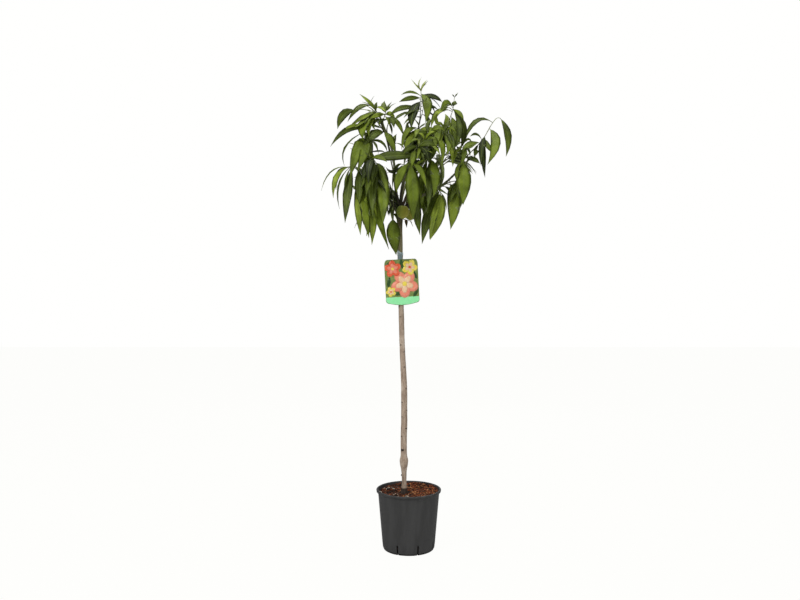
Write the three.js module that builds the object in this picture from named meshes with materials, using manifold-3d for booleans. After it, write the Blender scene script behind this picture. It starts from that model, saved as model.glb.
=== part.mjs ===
// A dwarf peach grafted on a standard stem, in a 19 cm nursery container, with a hang tag on the stem.
// Millimetres, +Z up. The origin is the centre of the container's flat underside; +X is to the right
// and -Y is the side that the tag faces. Every limb and mass of leaves is one closed solid.
import * as THREE from "three";
import { mergeVertices } from "three/addons/utils/BufferGeometryUtils.js";
import Module from "manifold-3d";

const wasm = await Module();
wasm.setup();

// ---------- Driving dimensions ----------

const GAP = 0.3; // air left between neighbouring solids
const ROUND_STEPS = 36; // facets round the container

const POT = {
  height: 172.5,
  rimR: 95, // outside of the rolled lip
  throatR: 89.9, // outside of the body under the lip
  baseR: 75.6,
  wall: 1.6,
  floor: 2.2,
  lipDepth: 7,
  lipRound: 2.4,
  heelRound: 3,
  mouthRound: 1.5, // how far the bore is eased at the lip
  slots: 8,
  slotWidth: 4,
  slotHeight: 28,
  slotTurn: -3, // degrees, from an even split that starts at the back
  slotReach: 9, // how far a slot runs in under the floor
};

const SOIL = {
  top: 159,
  levelR: 28, // level round the stem's foot, out to this radius
  bank: 7.4, // how far it is heaped against the wall, most at bankBearing and least across from there
  bankBearing: 40,
  bankPower: 1.5,
  lump: 1.1,
  lumpPitch: 60, // millimetres from one lump to the next
  rings: [1, 0.86, 0.7, 0.5, 0.3],
};

const STEM = {
  forkZ: 1006,
  footR: 8.6,
  topR: 7.5,
  flareR: 2.6, // extra radius at the very foot
  flareHeight: 16,
  headClose: 0.6, // the top ring's share of its radius
  rings: 38,
  sides: 12,
};
// The stem's axis: height, and how far it stands off the container's axis in X and Y.
const STEM_AXIS = [
  [SOIL.top, -13, -4],
  [250, -14, -4],
  [300, -14.5, -4],
  [450, -13, -3],
  [620, -20, -1],
  [800, -24, 1],
  [STEM.forkZ, -27, 2],
];
// Swellings: height, extra radius, half-length. The stout lower stem, the rootstock union, the waist under
// it, a knot and the top graft.
const SWELLINGS = [
  [345, 0.9, 130],
  [250, 3.8, 14],
  [196, -1.9, 42],
  [452, 0.7, 20],
  [988, 3.6, 22],
];
const BUDS = { first: 285, last: 960, spacing: 31, turn: 144, height: 1.1, halfLength: 5 };

const LIMB = { sides: 6, steps: 7, tipShare: 0.46 };

const TAG = {
  width: 98,
  height: 134,
  thickness: 0.8,
  topZ: 845,
  shoulder: 9,
  shoulderDrop: 16,
  crownDrop: 3, // the top edge is this much lower at its shoulders
  belly: 14, // how far the bottom edge bows down
  standOff: 1.0, // clear of the stem
  lean: 2.9, // degrees, turned in its own plane
  aside: 2, // its middle is this far to the right of the stem
};
const STRAP = { height: 9, thickness: 0.8, centreZ: 861, neckWidth: 13.5, neckTaper: 1.7, steps: 16 };

// Limbs: where each starts above the fork, its base radius, and the points it grows through.
const HEAD = new THREE.Vector3(-27, 2, 992);
const LIMBS = {
  bough_leader: { r: 5.2, through: [[-14, 12, 1078], [12, 14, 1160], [30, 6, 1240]] },
  bough_upper_left: { r: 4.8, through: [[-40, 8, 1062], [-46, 10, 1160], [-84, 12, 1266]] },
  bough_left: { r: 4.4, through: [[-60, -4, 1050], [-98, -8, 1108], [-122, -10, 1140]] },
  bough_left_low: { r: 4.6, through: [[-62, -22, 1022], [-96, -30, 1060], [-124, -32, 1084]] },
  bough_right: { r: 4.9, through: [[30, -4, 1028], [92, -8, 1056], [142, -6, 1102], [192, 0, 1154]] },
  bough_upper_right: { r: 4.2, through: [[14, 26, 1082], [68, 30, 1172], [112, 18, 1238]] },
  bough_front: { r: 4.2, through: [[-16, -34, 1036], [-2, -62, 1078], [8, -74, 1110]] },
  bough_back_left: { r: 4.4, through: [[-46, 34, 1036], [-66, 62, 1062], [-80, 84, 1080]] },
  bough_back_right: { r: 4.4, through: [[-2, 38, 1036], [30, 66, 1066], [48, 90, 1088]] },
  bough_back_top: { r: 4.0, through: [[-18, 34, 1076], [6, 60, 1130], [24, 76, 1172]] },
  bough_back_side: { r: 4.2, through: [[30, 24, 1050], [84, 46, 1110], [116, 62, 1158]] },
  spur_front: { r: 2.8, through: [[-38, -20, 994], [-45, -34, 978], [-46, -40, 956]] },
};

// Masses of leaves: centre, half-sizes, and the tongues of leaf tips that reach out of them.
// A tongue is a bearing from +X in degrees, a pitch above level, and how far it reaches out.
const MASSES = {
  foliage_top: {
    at: [33, 2, 1296], half: [50, 46, 52], hang: 5,
    tongues: [[80, 88, 34], [185, 20, 26], [0, 10, 30], [215, -25, 22], [300, -50, 14]],
  },
  foliage_upper_left: {
    at: [-116, 12, 1282], half: [70, 46, 37], hang: 5,
    tongues: [[180, -12, 24], [165, 52, 16], [200, -40, 18], [10, -30, 22]],
  },
  foliage_left: {
    at: [-150, -14, 1190], half: [58, 52, 52], hang: 5,
    tongues: [[180, -22, 28], [200, -52, 24], [170, 22, 16], [250, -30, 22]],
  },
  foliage_left_low: {
    at: [-106, -34, 1032], half: [66, 50, 94], hang: 6,
    tongues: [[178, -48, 26], [340, -76, 36], [0, -58, 22]],
  },
  foliage_left_tip: {
    at: [-199, -18, 1070], half: [38, 27, 38], hang: 4,
    tongues: [[180, -8, 22], [290, -66, 26], [180, -34, 22]],
  },
  foliage_centre: {
    at: [66, -62, 1170], half: [72, 50, 54], hang: 6,
    tongues: [[180, -20, 18], [0, 12, 18], [300, 20, 16], [60, 60, 14]],
  },
  foliage_centre_low: {
    at: [22, -72, 1028], half: [58, 40, 94], hang: 9,
    tongues: [[0, -78, 42], [200, -60, 14], [350, -62, 34], [270, -50, 12]],
  },
  foliage_stem_drop: {
    at: [-46, -42, 916], half: [17, 10, 44], hang: 2,
    tongues: [[90, -88, 16]],
  },
  foliage_upper_right: {
    at: [126, 20, 1272], half: [34, 36, 46], hang: 4,
    tongues: [[60, 84, 22], [180, 30, 14], [0, -30, 14], [300, -78, 40]],
  },
  foliage_right_low: {
    at: [150, -12, 1042], half: [34, 40, 70], hang: 5,
    tongues: [[240, -84, 34], [10, 30, 16], [200, -50, 14]],
  },
  foliage_far_right: {
    at: [232, 2, 1184], half: [48, 46, 62], hang: 5,
    tongues: [[0, 24, 24], [35, 58, 18], [270, -82, 30], [180, 40, 26], [0, -30, 16]],
  },
  foliage_back_left: {
    at: [-96, 116, 1076], half: [60, 54, 84], hang: 8,
    tongues: [[110, -40, 34], [150, -66, 34], [80, 30, 24], [250, -80, 26], [40, -74, 28]],
  },
  foliage_back_right: {
    at: [60, 124, 1082], half: [54, 56, 84], hang: 8,
    tongues: [[70, -40, 34], [20, -66, 30], [100, 30, 24], [120, -74, 30], [0, 10, 14]],
  },
  foliage_back_top: {
    at: [36, 104, 1204], half: [50, 48, 46], hang: 6,
    tongues: [[90, 50, 24], [100, -10, 26], [180, 20, 14], [20, 20, 14]],
  },
  foliage_back_side: {
    at: [146, 92, 1180], half: [46, 50, 50], hang: 6,
    tongues: [[90, 20, 24], [60, -30, 26], [0, 10, 16], [270, 50, 12]],
  },
  foliage_front_left: {
    at: [-62, -118, 1098], half: [52, 46, 58], hang: 6,
    tongues: [[270, -20, 26], [230, -62, 30], [300, -66, 28], [180, 0, 14]],
  },
};
const MASS = {
  detail: 3,
  smallDetail: 2, // for a mass no longer than smallHalf each way from its centre
  smallHalf: 50,
  lumpShare: 0.1,
  tongueWidth: 0.3,
  clearance: 0.9,
  phaseStep: 1.7, // keeps each mass's lumps different from its neighbours'
};

// ---------- Colours and finishes ----------

const FINISH = {
  container: { color: 0x3e3f40, roughness: 0.55, metalness: 0 },
  soil: { color: 0x4a2a1c, roughness: 0.95, metalness: 0 },
  bark: { color: 0x84705e, roughness: 0.85, metalness: 0 },
  shoot: { color: 0x6f7a45, roughness: 0.7, metalness: 0 },
  leaf: { color: 0x4a6423, roughness: 0.5, metalness: 0 },
  tag: { color: 0xd8a05a, roughness: 0.35, metalness: 0 },
  strap: { color: 0x9fb3b3, roughness: 0.35, metalness: 0 },
};
const materials = Object.fromEntries(
  Object.entries(FINISH).map(([name, look]) => [name, new THREE.MeshStandardMaterial({ name, ...look })]),
);

// ---------- Solids and booleans ----------

const radians = (degrees) => (degrees * Math.PI) / 180;
const bell = (x, halfLength) => Math.exp(-((x / halfLength) ** 2));

// A closed three.js geometry as a manifold-3d solid.
function solidOf(geometry) {
  const bare = geometry.index ? geometry.toNonIndexed() : geometry.clone();
  bare.deleteAttribute("normal");
  bare.deleteAttribute("uv");
  const merged = mergeVertices(bare, 1e-3);
  return new wasm.Manifold(
    new wasm.Mesh({
      numProp: 3,
      vertProperties: merged.attributes.position.array,
      triVerts: new Uint32Array(merged.index.array),
    }),
  );
}

// A solid's largest body as a three.js geometry.
function geometryOf(solid) {
  const body = solid.decompose().reduce((a, b) => (b.volume() > a.volume() ? b : a));
  const { numProp, vertProperties, triVerts } = body.getMesh();
  const corners = new Float32Array(triVerts.length * 3);
  triVerts.forEach((v, i) => corners.set(vertProperties.subarray(v * numProp, v * numProp + 3), i * 3));
  const geometry = new THREE.BufferGeometry();
  geometry.setAttribute("position", new THREE.BufferAttribute(corners, 3));
  geometry.computeVertexNormals();
  return geometry;
}

// What is left of a solid once its neighbours are cut out of it.
const without = (solid, cutters) => cutters.reduce((rest, cutter) => rest.subtract(cutter), solid);

// Closed tube through rings of points, each ring the same length, with a fan over either end.
function tubeOf(rings) {
  const sides = rings[0].length;
  const corners = [];
  const face = (...points) => points.forEach((p) => corners.push(p.x, p.y, p.z));
  const middle = (ring) => ring.reduce((sum, p) => sum.add(p), new THREE.Vector3()).divideScalar(sides);
  for (let i = 0; i + 1 < rings.length; i++) {
    for (let j = 0; j < sides; j++) {
      const k = (j + 1) % sides;
      face(rings[i][j], rings[i][k], rings[i + 1][k]);
      face(rings[i][j], rings[i + 1][k], rings[i + 1][j]);
    }
  }
  const [foot, tip] = [rings[0], rings[rings.length - 1]];
  const [footMiddle, tipMiddle] = [middle(foot), middle(tip)];
  for (let j = 0; j < sides; j++) {
    const k = (j + 1) % sides;
    face(footMiddle, foot[k], foot[j]);
    face(tipMiddle, tip[j], tip[k]);
  }
  return new THREE.BufferGeometry().setAttribute("position", new THREE.Float32BufferAttribute(corners, 3));
}

// ---------- Container and soil ----------

// Outside radius of the container's body at a height.
const potRadiusAt = (z) => POT.baseR + ((POT.throatR - POT.baseR) * z) / (POT.height - POT.lipDepth);

function potSolid() {
  const lipFoot = POT.height - POT.lipDepth;
  const bore = (z) => potRadiusAt(z) - POT.wall;
  const heel = [0, 30, 60, 90].map(
    (a) =>
      new THREE.Vector2(
        POT.baseR - POT.heelRound + POT.heelRound * Math.sin(radians(a)),
        POT.heelRound - POT.heelRound * Math.cos(radians(a)),
      ),
  );
  const roll = [-60, -20, 20, 60, 90].map(
    (a) =>
      new THREE.Vector2(
        POT.rimR - POT.lipRound + POT.lipRound * Math.cos(radians(a)),
        POT.height - POT.lipRound + POT.lipRound * Math.sin(radians(a)),
      ),
  );
  const profile = [
    new THREE.Vector2(0, 0),
    ...heel,
    new THREE.Vector2(POT.throatR, lipFoot),
    new THREE.Vector2(POT.rimR - POT.wall, lipFoot),
    ...roll,
    new THREE.Vector2(bore(POT.height) + POT.mouthRound, POT.height),
    new THREE.Vector2(bore(POT.height), POT.height - POT.mouthRound),
    new THREE.Vector2(bore(POT.floor), POT.floor),
    new THREE.Vector2(0, POT.floor),
  ];
  const shell = new THREE.LatheGeometry(profile, ROUND_STEPS).rotateX(Math.PI / 2);
  const slots = Array.from({ length: POT.slots }, (_, i) => {
    const slot = new THREE.BoxGeometry(POT.slotReach * 2, POT.slotWidth, POT.slotHeight * 2);
    slot.translate(POT.baseR + 1, 0, 0).rotateZ(radians(((i + 0.5) * 360) / POT.slots + 90 + POT.slotTurn));
    return solidOf(slot);
  });
  return without(solidOf(shell), slots);
}

// The root ball: it fills the container, is level round the stem's foot, and is heaped against the wall.
function soilSolid() {
  const edge = potRadiusAt(SOIL.top) - POT.wall - GAP;
  const profile = [
    new THREE.Vector2(0, POT.floor + GAP),
    new THREE.Vector2(potRadiusAt(POT.floor) - POT.wall - GAP * 2, POT.floor + GAP),
    ...SOIL.rings.map((share) => new THREE.Vector2(edge * share, SOIL.top)),
    new THREE.Vector2(0, SOIL.top),
  ];
  const ball = new THREE.LatheGeometry(profile, ROUND_STEPS).rotateX(Math.PI / 2);
  const points = ball.attributes.position;
  const wave = (2 * Math.PI) / SOIL.lumpPitch;
  for (let i = 0; i < points.count; i++) {
    const [x, y, z] = [points.getX(i), points.getY(i), points.getZ(i)];
    const out = (Math.hypot(x, y) - SOIL.levelR) / (edge - SOIL.levelR);
    if (z < SOIL.top - GAP || out <= 0) continue;
    const toward = 0.5 + 0.5 * Math.cos(Math.atan2(y, x) - radians(SOIL.bankBearing));
    const lump = SOIL.lump * Math.sin((x + y / 2) * wave) * Math.cos((y - x / 3) * wave);
    points.setZ(i, z + SOIL.bank * toward * out ** SOIL.bankPower + lump * out);
  }
  return solidOf(ball);
}

// ---------- Stem and limbs ----------

const stemCurve = new THREE.CatmullRomCurve3(STEM_AXIS.map(([z, x, y]) => new THREE.Vector3(x, y, z)));

// The stem's radius at a height and a bearing: taper, root flare, swellings, and buds in a spiral.
function stemRadius(z, bearing) {
  const share = (z - SOIL.top) / (STEM.forkZ - SOIL.top);
  let r = STEM.footR + (STEM.topR - STEM.footR) * share + STEM.flareR * bell(z - SOIL.top, STEM.flareHeight);
  for (const [at, height, half] of SWELLINGS) r += height * bell(z - at, half);
  for (let i = 0, at = BUDS.first; at < BUDS.last; i++, at += BUDS.spacing) {
    const facing = Math.max(0, Math.cos(bearing - radians(i * BUDS.turn)));
    r += BUDS.height * bell(z - at, BUDS.halfLength) * facing ** 3;
  }
  return r;
}

// The stem's axis at a height.
function stemAt(height) {
  const above = STEM_AXIS.findIndex(([z]) => z >= height);
  const [low, high] = [STEM_AXIS[above - 1][0], STEM_AXIS[above][0]];
  return stemCurve.getPoint((above - 1 + (height - low) / (high - low)) / (STEM_AXIS.length - 1));
}

function stemSolid(extra = 0) {
  const rings = [];
  for (let i = 0; i <= STEM.rings; i++) {
    const middle = stemCurve.getPoint(i / STEM.rings);
    const closing = i === STEM.rings ? STEM.headClose : 1;
    if (i === 0) middle.z = SOIL.top + GAP - extra;
    if (i === STEM.rings) middle.z = STEM.forkZ + extra;
    rings.push(
      Array.from({ length: STEM.sides }, (_, j) => {
        const bearing = (j * 2 * Math.PI) / STEM.sides;
        const r = stemRadius(middle.z, bearing) * closing + extra;
        return new THREE.Vector3(middle.x + r * Math.cos(bearing), middle.y + r * Math.sin(bearing), middle.z);
      }),
    );
  }
  return solidOf(tubeOf(rings));
}

// One tapering limb from the head of the stem through its named points.
function limbSolid({ r, through }, extra = 0) {
  const curve = new THREE.CatmullRomCurve3([HEAD, ...through.map((p) => new THREE.Vector3(...p))]);
  const frames = curve.computeFrenetFrames(LIMB.steps, false);
  const rings = [];
  for (let i = 0; i <= LIMB.steps; i++) {
    const middle = curve.getPointAt(i / LIMB.steps);
    if (i === LIMB.steps) middle.addScaledVector(frames.tangents[i], extra);
    const reach = r * (1 - (1 - LIMB.tipShare) * (i / LIMB.steps)) + extra;
    rings.push(
      Array.from({ length: LIMB.sides }, (_, j) => {
        const turn = (j * 2 * Math.PI) / LIMB.sides;
        return middle
          .clone()
          .addScaledVector(frames.normals[i], reach * Math.cos(turn))
          .addScaledVector(frames.binormals[i], reach * Math.sin(turn));
      }),
    );
  }
  return solidOf(tubeOf(rings));
}

// ---------- Masses of leaves ----------

// A slow, repeatable lumpiness over the sphere, different for each mass.
const lumps = (d, phase) =>
  Math.sin(d.x * 4.1 + phase) * Math.cos(d.y * 3.7 - phase) + 0.6 * Math.sin(d.z * 7.3 + d.x * 5.1 + phase * 2);

// One uneven mass: an ellipsoid with lumps, longer below, and tongues where leaf tips reach out.
function massSolid({ at, half, hang, tongues }, phase, extra = 0) {
  const detail = Math.max(...half) > MASS.smallHalf ? MASS.detail : MASS.smallDetail;
  const ball = new THREE.IcosahedronGeometry(1, detail);
  const points = ball.attributes.position;
  const axes = tongues.map(([bearing, pitch, reach]) => ({
    toward: new THREE.Vector3(
      Math.cos(radians(bearing)) * Math.cos(radians(pitch)),
      Math.sin(radians(bearing)) * Math.cos(radians(pitch)),
      Math.sin(radians(pitch)),
    ),
    reach,
  }));
  const least = Math.min(...half);
  for (let i = 0; i < points.count; i++) {
    const d = new THREE.Vector3().fromBufferAttribute(points, i).normalize();
    const p = new THREE.Vector3(d.x * half[0], d.y * half[1], d.z * half[2]);
    let out = least * MASS.lumpShare * lumps(d, phase) + extra;
    if (d.z < -0.2) out += hang * (0.5 + 0.5 * Math.sin(Math.atan2(d.y, d.x) * 7 + phase));
    for (const { toward, reach } of axes) out += reach * bell(d.angleTo(toward), MASS.tongueWidth);
    p.addScaledVector(p.clone().normalize(), out);
    points.setXYZ(i, at[0] + p.x, at[1] + p.y, at[2] + p.z);
  }
  return solidOf(ball);
}

// ---------- Hang tag ----------

// The tag's outline: flat top with round shoulders, straight sides, a bottom that bows down.
function tagOutline() {
  const [w, h, s] = [TAG.width / 2, TAG.height, TAG.shoulder];
  const foot = -h + TAG.belly;
  const outline = new THREE.Shape();
  outline.moveTo(-w + s, 0);
  outline.quadraticCurveTo(-w, -TAG.crownDrop, -w, -TAG.shoulderDrop);
  outline.lineTo(-w + 1.5, foot - 2);
  outline.quadraticCurveTo(-w + 3, foot - 8, -w + 12, foot - 9);
  outline.quadraticCurveTo(0, -h - TAG.belly * 0.45, w - 12, foot - 7);
  outline.quadraticCurveTo(w - 1, foot - 6, w, foot);
  outline.lineTo(w, -TAG.shoulderDrop);
  outline.quadraticCurveTo(w, -TAG.crownDrop, w - s, 0);
  outline.closePath();
  return outline;
}

// The tag hangs flat in front of the stem, with a neck that rises to the strap.
function tagSolid() {
  const settings = { depth: TAG.thickness, bevelEnabled: false, curveSegments: 6 };
  const axis = stemAt(TAG.topZ);
  const front = axis.y - stemRadius(TAG.topZ, -Math.PI / 2) - TAG.standOff - BUDS.height;
  const place = (geometry) => geometry.rotateX(Math.PI / 2).translate(axis.x + TAG.aside, front, TAG.topZ);
  const plate = new THREE.ExtrudeGeometry(tagOutline(), settings).rotateZ(radians(TAG.lean));
  const rise = STRAP.centreZ - TAG.topZ + STRAP.height / 2;
  const [left, right] = [-STRAP.neckWidth / 2 - TAG.aside, STRAP.neckWidth / 2 - TAG.aside];
  const neck = new THREE.Shape([
    new THREE.Vector2(left, -TAG.crownDrop * 2),
    new THREE.Vector2(right, -TAG.crownDrop * 2),
    new THREE.Vector2(right - STRAP.neckTaper, rise),
    new THREE.Vector2(left + STRAP.neckTaper, rise),
  ]);
  return solidOf(place(plate)).add(solidOf(place(new THREE.ExtrudeGeometry(neck, settings))));
}

// A band round the stem, that closes against the back of the tag's neck.
function strapSolid() {
  const axis = stemAt(STRAP.centreZ);
  const inner = stemRadius(STRAP.centreZ, 0) + GAP;
  const outer = inner + STRAP.thickness;
  const [low, high] = [STRAP.centreZ - STRAP.height / 2, STRAP.centreZ + STRAP.height / 2];
  const section = [[inner, low], [outer, low], [outer, high], [inner, high], [inner, low]];
  const band = new THREE.LatheGeometry(section.map(([x, z]) => new THREE.Vector2(x, z)), STRAP.steps);
  return solidOf(band.rotateX(Math.PI / 2).translate(axis.x, axis.y, 0));
}

// ---------- Assembly ----------

const tree = new THREE.Group();

function addPart(name, solid, material) {
  const mesh = new THREE.Mesh(geometryOf(solid), materials[material]);
  mesh.name = name;
  tree.add(mesh);
}

addPart("pot", potSolid(), "container");
addPart("soil", soilSolid(), "soil");
addPart("trunk", stemSolid(), "bark");

const taken = [stemSolid(GAP)];
const strap = without(strapSolid(), taken);
const tag = without(tagSolid(), taken);
addPart("tag_strap", strap, "strap");
addPart("tag_plate", without(tag, [strap]), "tag");

for (const [name, limb] of Object.entries(LIMBS)) {
  addPart(name, without(limbSolid(limb), taken), "shoot");
  taken.push(limbSolid(limb, GAP));
}
Object.entries(MASSES).forEach(([name, mass], i) => {
  const phase = i * MASS.phaseStep;
  addPart(name, without(massSolid(mass, phase), taken), "leaf");
  taken.push(massSolid(mass, phase, MASS.clearance));
});

export default tree;
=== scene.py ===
"""A dwarf peach grafted on a standard stem, in its nursery container, with a hang tag on the stem.

Metres throughout, in the frame's own axes: +Z is up and -Y is the side that the tag faces. Sizes that a
grower would quote in millimetres are written as a number times MM.
"""

import logging
from collections.abc import Sequence
from dataclasses import dataclass, field
from enum import Enum

import bpy
import numpy as np
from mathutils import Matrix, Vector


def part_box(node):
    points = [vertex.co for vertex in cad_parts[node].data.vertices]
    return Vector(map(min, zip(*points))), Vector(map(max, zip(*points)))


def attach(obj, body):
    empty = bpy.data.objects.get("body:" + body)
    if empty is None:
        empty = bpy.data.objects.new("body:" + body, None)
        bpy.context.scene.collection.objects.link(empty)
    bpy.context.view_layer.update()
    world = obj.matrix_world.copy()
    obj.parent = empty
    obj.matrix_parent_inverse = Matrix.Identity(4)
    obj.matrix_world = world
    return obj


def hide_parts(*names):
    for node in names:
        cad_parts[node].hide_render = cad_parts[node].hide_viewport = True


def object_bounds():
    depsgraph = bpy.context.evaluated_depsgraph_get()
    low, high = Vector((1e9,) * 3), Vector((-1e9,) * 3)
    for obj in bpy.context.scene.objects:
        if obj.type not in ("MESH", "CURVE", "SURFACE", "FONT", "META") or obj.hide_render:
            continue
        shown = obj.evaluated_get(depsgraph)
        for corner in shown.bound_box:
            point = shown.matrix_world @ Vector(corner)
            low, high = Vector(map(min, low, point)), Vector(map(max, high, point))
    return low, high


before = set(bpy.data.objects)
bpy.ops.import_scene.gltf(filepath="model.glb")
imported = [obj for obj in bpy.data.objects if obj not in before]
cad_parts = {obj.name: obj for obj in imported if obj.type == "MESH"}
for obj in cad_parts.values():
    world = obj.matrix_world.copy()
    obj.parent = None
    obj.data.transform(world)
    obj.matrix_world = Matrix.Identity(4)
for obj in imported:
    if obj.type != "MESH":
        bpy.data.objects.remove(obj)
CAD_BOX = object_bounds()

LOG = logging.getLogger("dwarf_peach")
MM = 0.001
UP = np.array([0.0, 0.0, 1.0])
FRONT = np.array([0.0, -1.0, 0.0])
RIGHT = np.array([1.0, 0.0, 0.0])
DIVERGENCE = np.radians(137.5)  # from one leaf to the next round a shoot

Array = np.ndarray
Rng = np.random.Generator
Colour = tuple[float, float, float]
Pair = tuple[float, float]
Triple = tuple[float, float, float]
Term = "Value | float | Colour"


# ---------- Numbers ----------


def tint(red: int, green: int, blue: int) -> Colour:
    """A colour on the usual 0 to 255 screen scale as the linear light that shaders take.

    Args:
        red, green, blue: the screen's own numbers.

    Returns:
        The three linear shares, 0 to 1.
    """
    screen = np.array([red, green, blue]) / 255
    linear = np.where(screen < 0.04045, screen / 12.92, ((screen + 0.055) / 1.055) ** 2.4)
    return tuple(float(share) for share in linear)


def unit(vectors: Array) -> Array:
    """The vectors (..., 3) at length one."""
    return vectors / np.maximum(np.linalg.norm(vectors, axis=-1, keepdims=True), 1e-12)


def dot(a: Array, b: Array) -> Array:
    """The dot products of two stacks of vectors, with the last axis kept."""
    return (a * b).sum(-1, keepdims=True)


def around(count: int) -> Array:
    """Evenly spaced bearings that make a full turn, in radians."""
    return np.linspace(0, 2 * np.pi, count, endpoint=False)


def xyz(x: Array | float, y: Array | float, z: Array | float) -> Array:
    """Points (..., 3) from their three coordinates, each spread over the shape of the others."""
    return np.stack(np.broadcast_arrays(x, y, z), -1)


def heading(bearing: Array | float, rise: Array | float = 0.0) -> Array:
    """Level directions (..., 3) at bearings in radians from +X, with a rise along Z added."""
    return xyz(np.cos(bearing), np.sin(bearing), rise)


def ease(share: Array) -> Array:
    """A smooth step from 0 to 1 over shares from 0 to 1."""
    held = np.clip(share, 0, 1)
    return held * held * (3 - 2 * held)


def bell(distance: Array, half: float | Array) -> Array:
    """A bell of height one that has fallen to 1/e at half."""
    return np.exp(-((distance / half) ** 2))


def curve(points: Sequence[Sequence[float]], count: int) -> Array:
    """A smooth line through points: Catmull and Rom's cubic, evenly spaced in its parameter.

    Args:
        points: the places that the line goes through, at least two.
        count: how many places to give back.

    Returns:
        An array (count, 3).
    """
    given = np.asarray(points, float)
    knots = np.vstack([2 * given[0] - given[1], given, 2 * given[-1] - given[-2]])
    along = np.linspace(0, len(given) - 1, count)
    leg = np.minimum(along.astype(int), len(given) - 2)
    t = (along - leg)[:, None]
    a, b, c, d = (knots[leg + k] for k in range(4))
    return b + t / 2 * (c - a + t * (2 * a - 5 * b + 4 * c - d + t * (3 * (b - c) + d - a)))


@dataclass(frozen=True)
class Grain:
    """Seeded noise in space: random numbers at the corners of cubes, blended by smooth steps."""

    seed: int
    side: int = 32

    def at(self, places: Array, pitch: float | Sequence[float], octaves: int = 1) -> Array:
        """The noise at each place, from about -1 to 1; each octave is half as large at half the pitch.

        Args:
            places: points (..., 3).
            pitch: the cubes' size, one number or one along each axis.
            octaves: how many sizes of detail are added up.

        Returns:
            An array of the points' shape without its last axis.
        """
        table = np.random.default_rng(self.seed).uniform(-1, 1, (self.side,) * 3)
        total = np.zeros(places.shape[:-1])
        for octave in range(octaves):
            spot = places / np.asarray(pitch) * 2**octave + 7.3 * octave
            cell = np.floor(spot).astype(int)
            blend = ease(spot - cell)
            for corner in np.ndindex(2, 2, 2):
                share = np.where(corner, blend, 1 - blend).prod(-1)
                x, y, z = np.moveaxis((cell + corner) % self.side, -1, 0)
                total += share * table[x, y, z] / 2**octave
        return total


# ---------- Meshes ----------


def grid_faces(rows: int, columns: int, closed: bool) -> Array:
    """Four-cornered faces of a grid of points that is numbered row by row.

    Args:
        rows, columns: the grid's counts of points.
        closed: whether the last column meets the first.

    Returns:
        Corner numbers (faces, 4), turning so that rows of counter-clockwise rings face outwards.
    """
    row = np.arange(rows - 1)[:, None] * columns
    column = np.arange(columns if closed else columns - 1)[None, :]
    after = (column + 1) % columns
    corners = [row + column, row + after, row + columns + after, row + columns + column]
    return np.stack(corners, -1).reshape(-1, 4)


def fan_faces(pole: int, first: int, sides: int, forward: bool) -> Array:
    """Triangles from a pole point to a ring of points, facing along the row direction if forward."""
    here = first + np.arange(sides)
    after = first + (np.arange(sides) + 1) % sides
    ring = (here, after) if forward else (after, here)
    return np.stack([np.full(sides, pole), *ring], -1)


def for_each(faces: Array, count: int, stride: int) -> Array:
    """The same faces for count shapes whose points follow each other, stride points apiece."""
    return (faces[None] + stride * np.arange(count)[:, None, None]).reshape(-1, faces.shape[1])


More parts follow.
